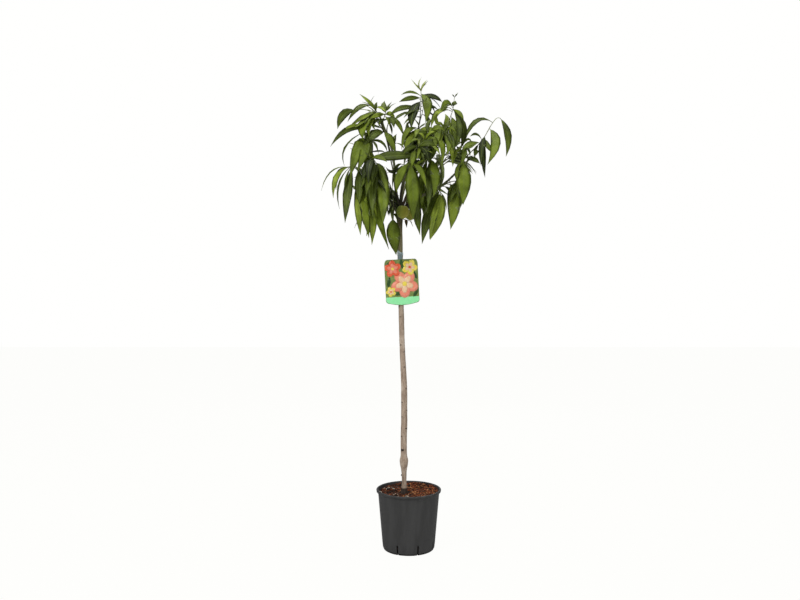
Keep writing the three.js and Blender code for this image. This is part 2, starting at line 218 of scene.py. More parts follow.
class Pile:
    """Gathers patches of points and faces into the one mesh of a piece."""

    def __init__(self) -> None:
        """Starts empty."""
        self.points: list[Array] = []
        self.corners: list[Array] = []
        self.sizes: list[Array] = []
        self.finish: list[Array] = []
        self.maps: list[Array] = []
        self.marks: list[Array] = []
        self.total = 0

    def add(
        self,
        points: Array,
        faces: Sequence[tuple[Array, int | Array]],
        uv: Array | None = None,
        mark: Array | None = None,
    ) -> None:
        """Adds a patch.

        Args:
            points: (..., 3), numbered in that order.
            faces: pairs of corner numbers (faces, corners) and the number of their finish.
            uv: (..., 2), the patch's own map.
            mark: (...), the number that its finish reads as "mark".
        """
        flat = points.reshape(-1, 3)
        for corners, finish in faces:
            self.corners.append(corners.ravel() + self.total)
            self.sizes.append(np.full(len(corners), corners.shape[1]))
            self.finish.append(np.broadcast_to(finish, len(corners)))
        self.points.append(flat)
        self.maps.append(np.zeros((len(flat), 2)) if uv is None else uv.reshape(-1, 2))
        self.marks.append(np.zeros(len(flat)) if mark is None else mark.ravel())
        self.total += len(flat)

    def tube(self, rings: Array, finish: int = 0, mark: Array | None = None) -> None:
        """Adds a closed tube of rings (rows, sides, 3), facing outwards, with a pole in each end's middle."""
        rows, sides = rings.shape[:2]
        spoke = rings - rings.mean(1, keepdims=True)
        swept = np.cross(spoke, np.roll(spoke, -1, axis=1)).sum(1)
        if (swept * np.gradient(rings.mean(1), axis=0)).sum() < 0:
            rings = rings[:, ::-1]
            mark = None if mark is None else mark[:, ::-1]
        poles = np.stack([rings[0].mean(0), rings[-1].mean(0)])
        count = rows * sides
        faces = [
            (grid_faces(rows, sides, True), finish),
            (fan_faces(count, 0, sides, False), finish),
            (fan_faces(count + 1, count - sides, sides, True), finish),
        ]
        marks = None if mark is None else np.append(mark.ravel(), [mark[0].mean(), mark[-1].mean()])
        self.add(np.vstack([rings.reshape(-1, 3), poles]), faces, mark=marks)

    def rod(
        self,
        path: Array,
        radii: Pair,
        sides: int,
        reference: Array,
        finish: int = 0,
        mark: Pair = (0.0, 0.0),
    ) -> None:
        """Adds a round rod along a path (rows, 3).

        Args:
            path, reference: as rings_along takes them.
            radii: its radius at the first and the last point, with an even taper between them.
            sides: how many corners each ring has.
            finish: the number of its finish.
            mark: its mark at the first and the last point.
        """
        ring = np.ones((1, sides))
        radius, marks = (np.linspace(*ends, len(path))[:, None] * ring for ends in (radii, mark))
        self.tube(rings_along(path, radius, reference), finish, marks)

    def piece(
        self,
        name: str,
        finishes: Sequence[bpy.types.Material],
        replaced: Sequence[str] = (),
        smooth: bool = True,
    ) -> bpy.types.Object:
        """Makes the piece, which rides with the pot and stands for the nodes that it replaces.

        Args:
            name: the piece's name.
            finishes: materials by the numbers used in add; those that no face uses are left out.
            replaced: the frame's nodes that it stands for.
            smooth: whether its faces shade as one surface.

        Returns:
            The new object.
        """
        kept, corners = np.unique(np.concatenate(self.corners), return_inverse=True)
        sizes = np.concatenate(self.sizes)
        used, slots = np.unique(np.concatenate(self.finish), return_inverse=True)
        mesh = bpy.data.meshes.new(name)
        mesh.vertices.add(len(kept))
        mesh.vertices.foreach_set("co", np.concatenate(self.points)[kept].astype(np.float32).ravel())
        mesh.loops.add(len(corners))
        mesh.loops.foreach_set("vertex_index", corners.astype(np.int32))
        mesh.polygons.add(len(sizes))
        mesh.polygons.foreach_set("loop_start", (np.cumsum(sizes) - sizes).astype(np.int32))
        mesh.polygons.foreach_set("material_index", slots.astype(np.int32))
        mesh.polygons.foreach_set("use_smooth", np.full(len(sizes), smooth))
        layer = mesh.uv_layers.new(name="own")
        layer.uv.foreach_set("vector", np.concatenate(self.maps)[kept][corners].astype(np.float32).ravel())
        mark = mesh.attributes.new("mark", "FLOAT", "POINT")
        mark.data.foreach_set("value", np.concatenate(self.marks)[kept].astype(np.float32))
        for number in used:
            mesh.materials.append(finishes[number])
        mesh.update(calc_edges=True)
        mesh.validate()
        made = bpy.data.objects.new(name, mesh)
        bpy.context.scene.collection.objects.link(made)
        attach(made, "root")
        if replaced:
            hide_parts(*replaced)
        triangles = int((sizes - 2).sum())
        LOG.info("%s: %d triangles, %d finishes", name, triangles, len(used))
        return made


def rings_along(path: Array, radius: Array, reference: Array) -> Array:
    """Rings square to a path: each point is its middle plus radius times (cos u + sin v).

    Args:
        path: middles (rows, 3).
        radius: (rows, sides).
        reference: a direction that the path never takes; u is its part that is square to the path.

    Returns:
        Points (rows, sides, 3), counter-clockwise about the path.
    """
    ahead = unit(np.gradient(path, axis=0))
    across = unit(reference - dot(ahead, np.broadcast_to(reference, ahead.shape)) * ahead)
    beside = np.cross(ahead, across)
    turn = around(radius.shape[1])[None, :, None]
    spoke = across[:, None] * np.cos(turn) + beside[:, None] * np.sin(turn)
    return path[:, None] + radius[..., None] * spoke


class Spine:
    """A limb's centre line and radius, read from the cross-sections of its solid in the frame."""

    def __init__(self, node: str, start: Array | None = None, clear: float = 0.0, cuts: int = 24) -> None:
        """Cuts the solid square to the line from its start to its furthest corner.

        Args:
            node: the frame's node.
            start: where the limb begins; the middle of its lowest corners if not given.
            clear: the share of its length next to the start where other limbs cut into it.
            cuts: how many cross-sections are read.
        """
        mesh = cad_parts[node].data
        corners = np.empty(len(mesh.vertices) * 3)
        mesh.vertices.foreach_get("co", corners)
        corners = corners.reshape(-1, 3)
        ends = np.empty(len(mesh.edges) * 2, int)
        mesh.edges.foreach_get("vertices", ends)
        if start is None:
            start = corners[corners[:, 2] < corners[:, 2].min() + 0.1 * MM].mean(0)
        a, b = corners[ends.reshape(-1, 2)].transpose(1, 0, 2)
        furthest = corners[np.argmax(np.linalg.norm(corners - start, axis=1))]
        axis = unit(furthest - start)
        near, far = (a - start) @ axis, (b - start) @ axis
        middles, widths = [start], []
        levels = np.linspace(max(clear, 0.004), 0.985, cuts) * far.max()
        for level in levels:
            hit = (near < level) != (far < level)
            part = ((level - near[hit]) / (far - near)[hit])[:, None]
            ring = a[hit] + part * (b - a)[hit]
            middles.append(ring.mean(0))
            widths.append(np.linalg.norm(ring - ring.mean(0), axis=1).mean())
        self.middles = np.array(middles)
        self.widths = np.array([widths[0], *widths])
        steps = np.linalg.norm(np.diff(self.middles, axis=0), axis=1)
        self.reach = np.concatenate([[0], np.cumsum(steps)])
        self.length = float(self.reach[-1])

    def at(self, share: Array | float) -> Array:
        """The centre line's places at shares of its length."""
        along = np.asarray(share) * self.length
        return np.stack([np.interp(along, self.reach, self.middles[:, k]) for k in range(3)], -1)

    def ahead(self, share: float) -> Array:
        """The direction of growth at a share of its length."""
        return unit(self.at(min(share + 0.05, 1.0)) - self.at(max(share - 0.05, 0.0)))

    def radius(self, share: Array | float) -> Array:
        """The radius at shares of its length."""
        return np.interp(np.asarray(share) * self.length, self.reach, self.widths)


# ---------- Shader maths ----------


class Value:
    """A shader socket that takes part in sums: an operator adds the Math node that does it."""

    def __init__(self, nodes: "Nodes", socket: bpy.types.NodeSocket) -> None:
        """Wraps an output socket of a node tree."""
        self.nodes = nodes
        self.socket = socket

    def _math(self, operation: str, *terms: Term) -> "Value":
        """The Math node of that operation over the terms."""
        return self.nodes.node("ShaderNodeMath", {"operation": operation}, dict(enumerate(terms)))

    def __add__(self, other: Term) -> "Value":
        """self + other."""
        return self._math("ADD", self, other)

    __radd__ = __add__

    def __sub__(self, other: Term) -> "Value":
        """self - other."""
        return self._math("SUBTRACT", self, other)

    def __rsub__(self, other: Term) -> "Value":
        """other - self."""
        return self._math("SUBTRACT", other, self)

    def __mul__(self, other: Term) -> "Value":
        """self * other."""
        return self._math("MULTIPLY", self, other)

    __rmul__ = __mul__

    def __abs__(self) -> "Value":
        """abs(self)."""
        return self._math("ABSOLUTE", self)

    def cosine(self) -> "Value":
        """The cosine of self, in radians."""
        return self._math("COSINE", self)

    def between(self, low: float, high: float) -> "Value":
        """0 where self is at low, 1 where it is at high, with a smooth step between them."""
        settings = {"interpolation_type": "SMOOTHSTEP"}
        inputs = {"Value": self, "From Min": low, "From Max": high}
        return self.nodes.node("ShaderNodeMapRange", settings, inputs)


class Nodes:
    """A node tree that is filled through one method."""

    def __init__(self, tree: bpy.types.NodeTree) -> None:
        """Takes the tree."""
        self.tree = tree

    def feed(self, socket: bpy.types.NodeSocket, value: Term) -> None:
        """Links a Value to an input socket, or sets a number or colour on it."""
        if isinstance(value, Value):
            self.tree.links.new(value.socket, socket)
        elif isinstance(value, tuple) and socket.type == "RGBA":
            socket.default_value = (*value, 1.0)
        else:
            socket.default_value = value

    def node(self, kind: str, settings: dict, inputs: dict, output: int | str = 0) -> Value:
        """Adds a node.

        Args:
            kind: the node's type.
            settings: its own options by name, set first.
            inputs: what its sockets take, by name or number.
            output: the socket to read.

        Returns:
            That output.
        """
        made = self.tree.nodes.new(kind)
        for option, value in settings.items():
            setattr(made, option, value)
        for socket, value in inputs.items():
            self.feed(made.inputs[socket], value)
        return Value(self, made.outputs[output])


class Shader(Nodes):
    """The node tree of one finish, which ends in a Principled shader."""

    def __init__(self, name: str, **constants: float | Colour) -> None:
        """Makes the material; constants are Principled sockets by name, with _ for a space."""
        self.material = bpy.data.materials.new(name)
        self.material.use_nodes = True
        super().__init__(self.material.node_tree)
        self.surface = self.tree.nodes["Principled BSDF"]
        for socket, value in constants.items():
            self.set(socket.replace("_", " "), value)

    def place(self, scale: Colour = (1.0, 1.0, 1.0), turn: Colour = (0.0, 0.0, 0.0)) -> Value:
        """Object coordinates, scaled and turned."""
        place = self.node("ShaderNodeTexCoord", {}, {}, "Object")
        return self.node("ShaderNodeMapping", {}, {"Vector": place, "Scale": scale, "Rotation": turn})

    def along(self, vector: Value, axis: str) -> Value:
        """One axis, X, Y or Z, of a vector."""
        return self.node("ShaderNodeSeparateXYZ", {}, {"Vector": vector}, axis)

    def own_map(self, axis: str) -> Value:
        """One axis of the piece's own UV map."""
        return self.along(self.node("ShaderNodeUVMap", {"uv_map": "own"}, {}), axis)

    def mark(self) -> Value:
        """The number that the mesh carries at each point as its mark."""
        return self.node("ShaderNodeAttribute", {"attribute_name": "mark"}, {}, "Fac")

    def noise(self, where: Value, pitch: float, detail: float = 2.0, roughness: float = 0.5) -> Value:
        """Noise from 0 to 1 whose lumps are about pitch across."""
        inputs = {"Vector": where, "Scale": 1 / pitch, "Detail": detail, "Roughness": roughness}
        return self.node("ShaderNodeTexNoise", {}, inputs)

    def cells(self, where: Value, pitch: float) -> Value:
        """The distance to the nearest of scattered points, about 0 to 1."""
        return self.node("ShaderNodeTexVoronoi", {}, {"Vector": where, "Scale": 1 / pitch})

    def mix(self, factor: Term, first: Term, second: Term) -> Value:
        """The first colour where factor is 0, the second where it is 1."""
        inputs = {0: factor, 6: first, 7: second}
        return self.node("ShaderNodeMix", {"data_type": "RGBA", "clamp_factor": True}, inputs, 2)

    def bump(self, height: Value, depth: float, strength: float = 1.0) -> None:
        """Raises the surface by depth where height is 1."""
        inputs = {"Height": height, "Distance": depth, "Strength": strength}
        self.set("Normal", self.node("ShaderNodeBump", {}, inputs))

    def set(self, socket: str, value: Term) -> None:
        """Gives a Principled socket its varying input."""
        self.feed(self.surface.inputs[socket], value)


# ---------- Finishes ----------


class Numbered(Enum):
    """Finishes by name, numbered in their order."""

    @property
    def number(self) -> int:
        """Its place among them."""
        return list(type(self)).index(self)

    @classmethod
    def materials(cls) -> list[bpy.types.Material]:
        """All of them, built in that order."""
        return [member.value.material() for member in cls]


@dataclass(frozen=True)
class MouldedPlastic:
    """Dark satin plastic: faint flow marks, a fine pebble, dust towards the foot and painted shade on the
    heel.
    """

    name: str = "container_plastic"
    tone: Colour = tint(62, 62, 62)
    worn: Colour = tint(71, 71, 71)
    dust: Colour = tint(92, 88, 82)
    # painted shade on the heel: near black, up to the height on the next line
    foot_dark: Colour = tint(30, 29, 27)
    foot_dark_to: float = 5.5 * MM
    height: float = 172.5 * MM

    def material(self) -> bpy.types.Material:
        """Builds the finish."""
        shader = Shader(self.name, Specular_IOR_Level=0.22)
        flow = shader.noise(shader.place((1.0, 1.0, 0.16)), 22 * MM, 3.0)
        pebble = shader.noise(shader.place(), 1.1 * MM, 2.0)
        low = shader.along(shader.place(), "Z").between(0.22 * self.height, 0.0)
        specks = shader.noise(shader.place(), 4 * MM, 4.0, 0.7).between(0.55, 0.72)
        colour = shader.mix(flow.between(0.35, 0.7), self.tone, self.worn)
        colour = shader.mix(low * specks * 0.35, colour, self.dust)
        # painted shade: the heel darkens to near black
        heel = shader.along(shader.place(), "Z").between(self.foot_dark_to, 0.6 * self.foot_dark_to)
        shader.set("Base Color", shader.mix(heel, colour, self.foot_dark))
        shader.set("Roughness", 0.5 + 0.12 * flow + 0.1 * pebble)
        shader.bump(pebble + 0.6 * flow, 0.09 * MM, 0.5)
        return shader.material


@dataclass(frozen=True)
class PottingMix:
    """Moist, crumbly peat and bark dust."""

    name: str = "potting_mix"
    dark: Colour = tint(34, 20, 12)
    light: Colour = tint(118, 62, 34)

    def material(self) -> bpy.types.Material:
        """Builds the finish."""
        shader = Shader(self.name, Roughness=0.95, Specular_IOR_Level=0.25)
        clods = shader.noise(shader.place(), 7 * MM, 5.0, 0.65)
        crumbs = shader.cells(shader.place(), 2.6 * MM)
        shader.set("Base Color", shader.mix(clods.between(0.36, 0.7), self.dark, self.light))
        shader.bump(clods + 0.5 * crumbs, 1.6 * MM)
        return shader.material


@dataclass(frozen=True)
class Chip:
    """Chopped bark of one tone, with its fibres along the chip."""

    name: str
    tone: Colour
    edge: Colour

    def material(self) -> bpy.types.Material:
        """Builds the finish."""
        shader = Shader(self.name, Roughness=0.88, Specular_IOR_Level=0.3)
        fibre = shader.noise(shader.place((1.0, 0.35, 1.6)), 2.4 * MM, 4.0, 0.6)
        shader.set("Base Color", shader.mix(fibre.between(0.4, 0.66), self.tone, self.edge))
        shader.bump(fibre, 0.5 * MM)
        return shader.material


@dataclass(frozen=True)
class StemBark:
    """Grey-brown peach bark: long streaks, cross lenticels, dark scars at the marks, green and painted shade
    higher up.
    """

    name: str = "stem_bark"
    middle: Colour = tint(190, 170, 150)
    light: Colour = tint(216, 200, 182)
    dark: Colour = tint(140, 119, 102)
    scar: Colour = tint(44, 34, 28)
    # young olive bark, darker than it is, as painted shade
    green: Colour = tint(122, 122, 78)
    green_from: float = 650 * MM
    green_to: float = 900 * MM
    # painted shade on the bark just under the fork
    neck: Colour = tint(54, 46, 28)
    fork_shade_from: float = 905 * MM
    fork_shade_to: float = 965 * MM

    def material(self) -> bpy.types.Material:
        """Builds the finish."""
        shader = Shader(self.name, Specular_IOR_Level=0.3)
        streak = shader.noise(shader.place((1.0, 1.0, 0.07)), 2.2 * MM, 4.0, 0.6)
        patch = shader.noise(shader.place((1.0, 1.0, 0.4)), 16 * MM, 3.0)
        band = shader.noise(shader.place((0.22, 0.22, 1.0)), 1.5 * MM, 2.0)
        colour = shader.mix(streak.between(0.34, 0.62), self.dark, self.middle)
        colour = shader.mix(patch.between(0.5, 0.72) * 0.7, colour, self.light)
        height = shader.along(shader.place(), "Z")
        high = height.between(self.green_from, self.green_to)
        # greener higher up, and darker there as painted shade
        colour = shader.mix(high * (0.45 + 0.5 * patch), colour, self.green)
        colour = shader.mix(band.between(0.66, 0.74) * 0.55, colour, self.light)
        # painted shade under the fork
        colour = shader.mix(height.between(self.fork_shade_from, self.fork_shade_to) * 0.8, colour, self.neck)
        colour = shader.mix(shader.mark().between(0.12, 0.8), colour, self.scar)
        shader.set("Base Color", colour)
        shader.set("Roughness", 0.66 + 0.2 * streak)
        shader.bump(streak + 0.7 * band, 0.5 * MM, 0.7)
        return shader.material


@dataclass(frozen=True)
class ShootSkin:
    """Thin skin of a bough, brown where its mark is 0 and fresh green where it is 1; the default brown is
    darkened as painted shade.
    """

    name: str = "shoot_skin"
    # old brown bark, darkened as painted shade where the boughs leave the stem
    old_and_shaded: Colour = tint(50, 42, 28)
    young: Colour = tint(150, 160, 106)
    blush: Colour = tint(108, 78, 52)
    dark: Colour = tint(70, 66, 48)

    def material(self) -> bpy.types.Material:
        """Builds the finish."""
        shader = Shader(self.name, Specular_IOR_Level=0.4)
        streak = shader.noise(shader.place((1.0, 1.0, 0.2)), 3 * MM, 3.0, 0.6)
        patch = shader.noise(shader.place(), 24 * MM, 2.0)
        colour = shader.mix(shader.mark(), self.old_and_shaded, self.young)
        colour = shader.mix(patch.between(0.5, 0.75) * 0.5, colour, self.blush)
        colour = shader.mix(streak.between(0.52, 0.7) * 0.45, colour, self.dark)
        shader.set("Base Color", colour)
        shader.set("Roughness", 0.5 + 0.2 * streak)
        shader.bump(streak, 0.3 * MM, 0.6)
        return shader.material


@dataclass(frozen=True)
class LeafSkin:
    """A leaf's upper skin in one tone, faint side veins that leave the rib at a slant, and painted light and
    shade.
    """

    name: str
    tone: Colour
    vein: Colour
    roughness: float = 0.4
    veins: float = 13.0  # pairs of side veins
    slant: float = 0.16  # how far a vein runs on towards the tip, as a share of the leaf
    rim_shade: float = 0.5  # how much darker the blade is at its edge
    shading_cloud: float = 34 * MM  # how wide its clouds of painted highlight and painted shadow are
    painted_highlight: float = 1.35  # how much brighter than the veins the painted highlights are
    painted_shadow: float = 0.42  # how much darker than the blade the painted shadows are

    def material(self) -> bpy.types.Material:
        """Builds the finish."""
        shader = Shader(self.name, Specular_IOR_Level=0.18)
        out = abs(shader.own_map("X") * 2.0 - 1.0)
        wave = ((shader.own_map("Y") - out * self.slant) * (2 * np.pi * self.veins)).cosine()
        vein = wave.between(0.62, 1.0) * (1.0 - out * 0.6)
        patch = shader.noise(shader.place(), 26 * MM, 2.0)
        colour = shader.mix(patch.between(0.3, 0.75) * 0.35, self.tone, self.vein)
        # painted highlights and painted shadows in large clouds across the blade
        shading_cloud = shader.noise(shader.place(), self.shading_cloud, 1.0)
        highlight_tone = tuple(min(c * self.painted_highlight, 1.0) for c in self.vein)
        colour = shader.mix((1.0 - shading_cloud).between(0.5, 0.68) * 0.55, colour, highlight_tone)
        shadow_tone, rim = (tuple(c * shade for c in self.tone) for shade in (self.painted_shadow, self.rim_shade))
        colour = shader.mix(shading_cloud.between(0.5, 0.68) * 0.6, colour, shadow_tone)
        colour = shader.mix(vein * 0.3, colour, self.vein)
        shader.set("Base Color", shader.mix(out.between(0.5, 1.0) * 0.8, colour, rim))
        shader.set("Roughness", self.roughness + 0.12 * patch)
        shader.bump(wave * (1.0 - out * 0.5) * -1.0, 0.35 * MM, 0.45)
        return shader.material


@dataclass(frozen=True)
class FruitSkin:
    """Unripe peach skin under a short fuzz, warmer where its mark is 1."""

    name: str = "fruit_skin"
    green: Colour = tint(130, 148, 36)
    blush: Colour = tint(144, 142, 36)
    fuzz: Colour = tint(164, 164, 104)

    def material(self) -> bpy.types.Material:
        """Builds the finish."""
        shader = Shader(self.name, Roughness=0.72, Sheen_Weight=0.12, Sheen_Roughness=0.5)
        freckle = shader.noise(shader.place(), 2.2 * MM, 3.0, 0.6)
        colour = shader.mix(shader.mark(), self.green, self.blush)
        shader.set("Base Color", shader.mix(freckle.between(0.6, 0.78) * 0.35, colour, self.fuzz))
        shader.bump(shader.noise(shader.place(), 0.9 * MM, 2.0), 0.25 * MM, 0.5)
        return shader.material


@dataclass(frozen=True)
class Ink:
    """A flat print colour on glossy card, with the faint mottle of a printed solid."""

    name: str
    tone: Colour
    shade: Colour
    roughness: float = 0.3

    def material(self) -> bpy.types.Material:
        """Builds the finish."""
        shader = Shader(self.name, Specular_IOR_Level=0.5, Coat_Roughness=0.12)
        mottle = shader.noise(shader.place((1.0, 0.0, 1.0)), 9 * MM, 3.0, 0.55)
        shader.set("Base Color", shader.mix(mottle.between(0.3, 0.75), self.tone, self.shade))
        shader.set("Roughness", self.roughness + 0.08 * mottle)
        shader.bump(shader.noise(shader.place(), 14 * MM, 1.0), 0.4 * MM, 0.3)
        return shader.material


# ---------- Container and potting mix ----------


@dataclass
class Container:
    """The nursery container: a thin tapered wall, a rolled lip, a rounded heel and drain slots."""

    wall: float = 1.6 * MM
    floor: float = 2.2 * MM
    lip_drop: float = 7 * MM
    lip_round: float = 2.4 * MM
    heel: float = 1.8 * MM  # how far the foot ring stands in from the wall
    heel_height: float = 5 * MM
    throat: float = 89.9 * MM  # the body's radius under the lip
    foot: float = 75.6 * MM  # and at the floor
    well: float = 40 * MM  # radius of the flat inside of the floor
    hub: float = 12 * MM  # radius of the innermost ring
    slots: int = 8
    slot_top: float = 28 * MM
    slot_in: float = 8 * MM
    columns: int = 240
    slot_columns: int = 2
    slot_shift: int = -2  # columns that the slots are turned by
    finish: MouldedPlastic = field(default_factory=MouldedPlastic)

    def __post_init__(self) -> None:
        """Reads the container's height and rim from the frame."""
        low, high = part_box("pot")
        self.height = high.z
        self.rim = (high.x - low.x) / 2

    def body(self, z: Array | float) -> Array:
        """The body's outside radius at a height, an even taper."""
        return self.foot + (self.throat - self.foot) * np.asarray(z) / (self.height - self.lip_drop)

    def profile(self) -> tuple[Array, range, range]:
        """The wall's section as (radius, height) from the middle of its underside round to its inside.

        Returns:
            The points, and the rows that the slots pass through outside and inside, heel upwards.
        """
        lip = self.height - self.lip_drop
        under = [(r, 0.0) for r in (self.hub, self.well, 58 * MM)]
        ring = self.foot - self.heel
        heel = [(ring - 1.2 * MM, 0.0), (ring - 0.4 * MM, 0.3 * MM), (ring, 1.2 * MM)]
        heel += [(ring, 0.7 * self.heel_height), (self.foot - 0.3 * MM, 0.84 * self.heel_height)]
        heel.append((self.foot, self.heel_height))
        slot_out = [(self.foot - self.slot_in, 0.0), *heel]
        slot_out += [(float(self.body(z)), z) for z in (0.6 * self.slot_top, self.slot_top)]
        side = [(float(self.body(z)), z) for z in np.linspace(self.slot_top, lip, 26)[1:]]
        edge = self.rim - self.lip_round
        bead = np.radians(np.linspace(-90, 90, 11))
        skirt = [(self.throat + 1.2 * MM, lip - 0.2 * MM), (self.rim - 2 * MM, lip)]
        skirt.append((self.rim - 0.6 * MM, lip + 0.4 * MM))
        bend = self.lip_round
        roll = [(edge + bend * np.cos(a), self.height - bend * (1 - np.sin(a))) for a in bead[2:]]
        bore = self.throat - self.wall
        mouth = [(bore + 2.2 * MM, self.height), (bore + 0.9 * MM, self.height - 0.5 * MM)]
        mouth.append((bore + 0.4 * MM, lip + 4 * MM))
        inner = [(float(self.body(z)) - self.wall, z) for z in np.linspace(lip, self.slot_top, 22)[:-1]]
        slot_in = [(float(self.body(z)) - self.wall, z) for z in np.linspace(self.slot_top, self.floor, 5)]
        slot_in += [(slot_in[-1][0] - d, self.floor) for d in (1.5 * MM, 3.5 * MM, 5 * MM)]
        slot_in.append((self.foot - self.slot_in, self.floor))
        inside = [(r, self.floor) for r in (self.well, self.hub)]
        rows = [*under, *slot_out, *side, *skirt, *roll, *mouth, *inner, *slot_in, *inside]
        first_out = len(under)
        first_in = len(rows) - len(inside) - len(slot_in)
        outside = range(first_out, first_out + len(slot_out))
        return np.array(rows), outside, range(first_in + len(slot_in) - 1, first_in - 1, -1)

    def build(self) -> bpy.types.Object:
        """Turns the section about the vertical, drops the slots' cells and walls their edges."""
        section, outside, inside = self.profile()
        rows = len(section)
        radius, height = section[:, :1], section[:, 1:]
        turn = around(self.columns)
        points = xyz(radius * np.cos(turn), radius * np.sin(turn), height)
        faces = grid_faces(rows, self.columns, True)
        row, column = np.divmod(np.arange(len(faces)), self.columns)
        gap = self.columns // self.slots
        in_slot = (column - gap // 2 - self.slot_shift + self.slot_columns // 2) % gap < self.slot_columns
        low, high = min(inside), max(inside)
        crossed = ((row >= outside[0]) & (row < outside[-1])) | ((row >= low) & (row < high))
        pile = Pile()
        count = rows * self.columns
        poles = np.array([[0, 0, 0], [0, 0, self.floor]])
        patches = [faces[~(in_slot & crossed)], fan_faces(count, 0, self.columns, False)]
        patches.append(fan_faces(count + 1, count - self.columns, self.columns, True))
        middles = np.arange(self.slots) * gap + gap // 2 + self.slot_shift
        patches += [self.slot_walls(outside, inside, int(middle)) for middle in middles]
        pile.add(np.vstack([points.reshape(-1, 3), poles]), [(patch, 0) for patch in patches])
        return pile.piece("container", [self.finish.material()], ["pot"])

    def slot_walls(self, outside: range, inside: range, middle: int) -> Array:
        """Faces that join the outside and inside edges of one slot, so that the wall shows its thickness.

        Args:
            outside, inside: matching rows, from the slot's end under the floor to its top.
            middle: the slot's middle column.

        Returns:
            Corner numbers (faces, 4).
        """
        left = middle - self.slot_columns // 2
        out, within = np.array(outside) * self.columns, np.array(inside) * self.columns
        up = np.stack([out[:-1], out[1:], within[1:], within[:-1]], -1)
        across = left + np.arange(self.slot_columns)[:, None]
        foot, top = (across + [out[k], out[k] + 1, within[k] + 1, within[k]] for k in (0, -1))
        return np.vstack([(up + left)[:, ::-1], up + left + self.slot_columns, foot, top[:, ::-1]])


class ChipTone(Numbered):
    """Bark chips by colour."""

    RUST = Chip("chip_rust", tint(124, 60, 30), tint(162, 88, 46))
    TAN = Chip("chip_tan", tint(168, 108, 66), tint(204, 150, 100))
    BROWN = Chip("chip_brown", tint(76, 44, 28), tint(110, 68, 44))
    BLACK = Chip("chip_black", tint(22, 19, 16), tint(44, 38, 32))
    PALE = Chip("chip_pale", tint(196, 180, 158), tint(226, 214, 196))


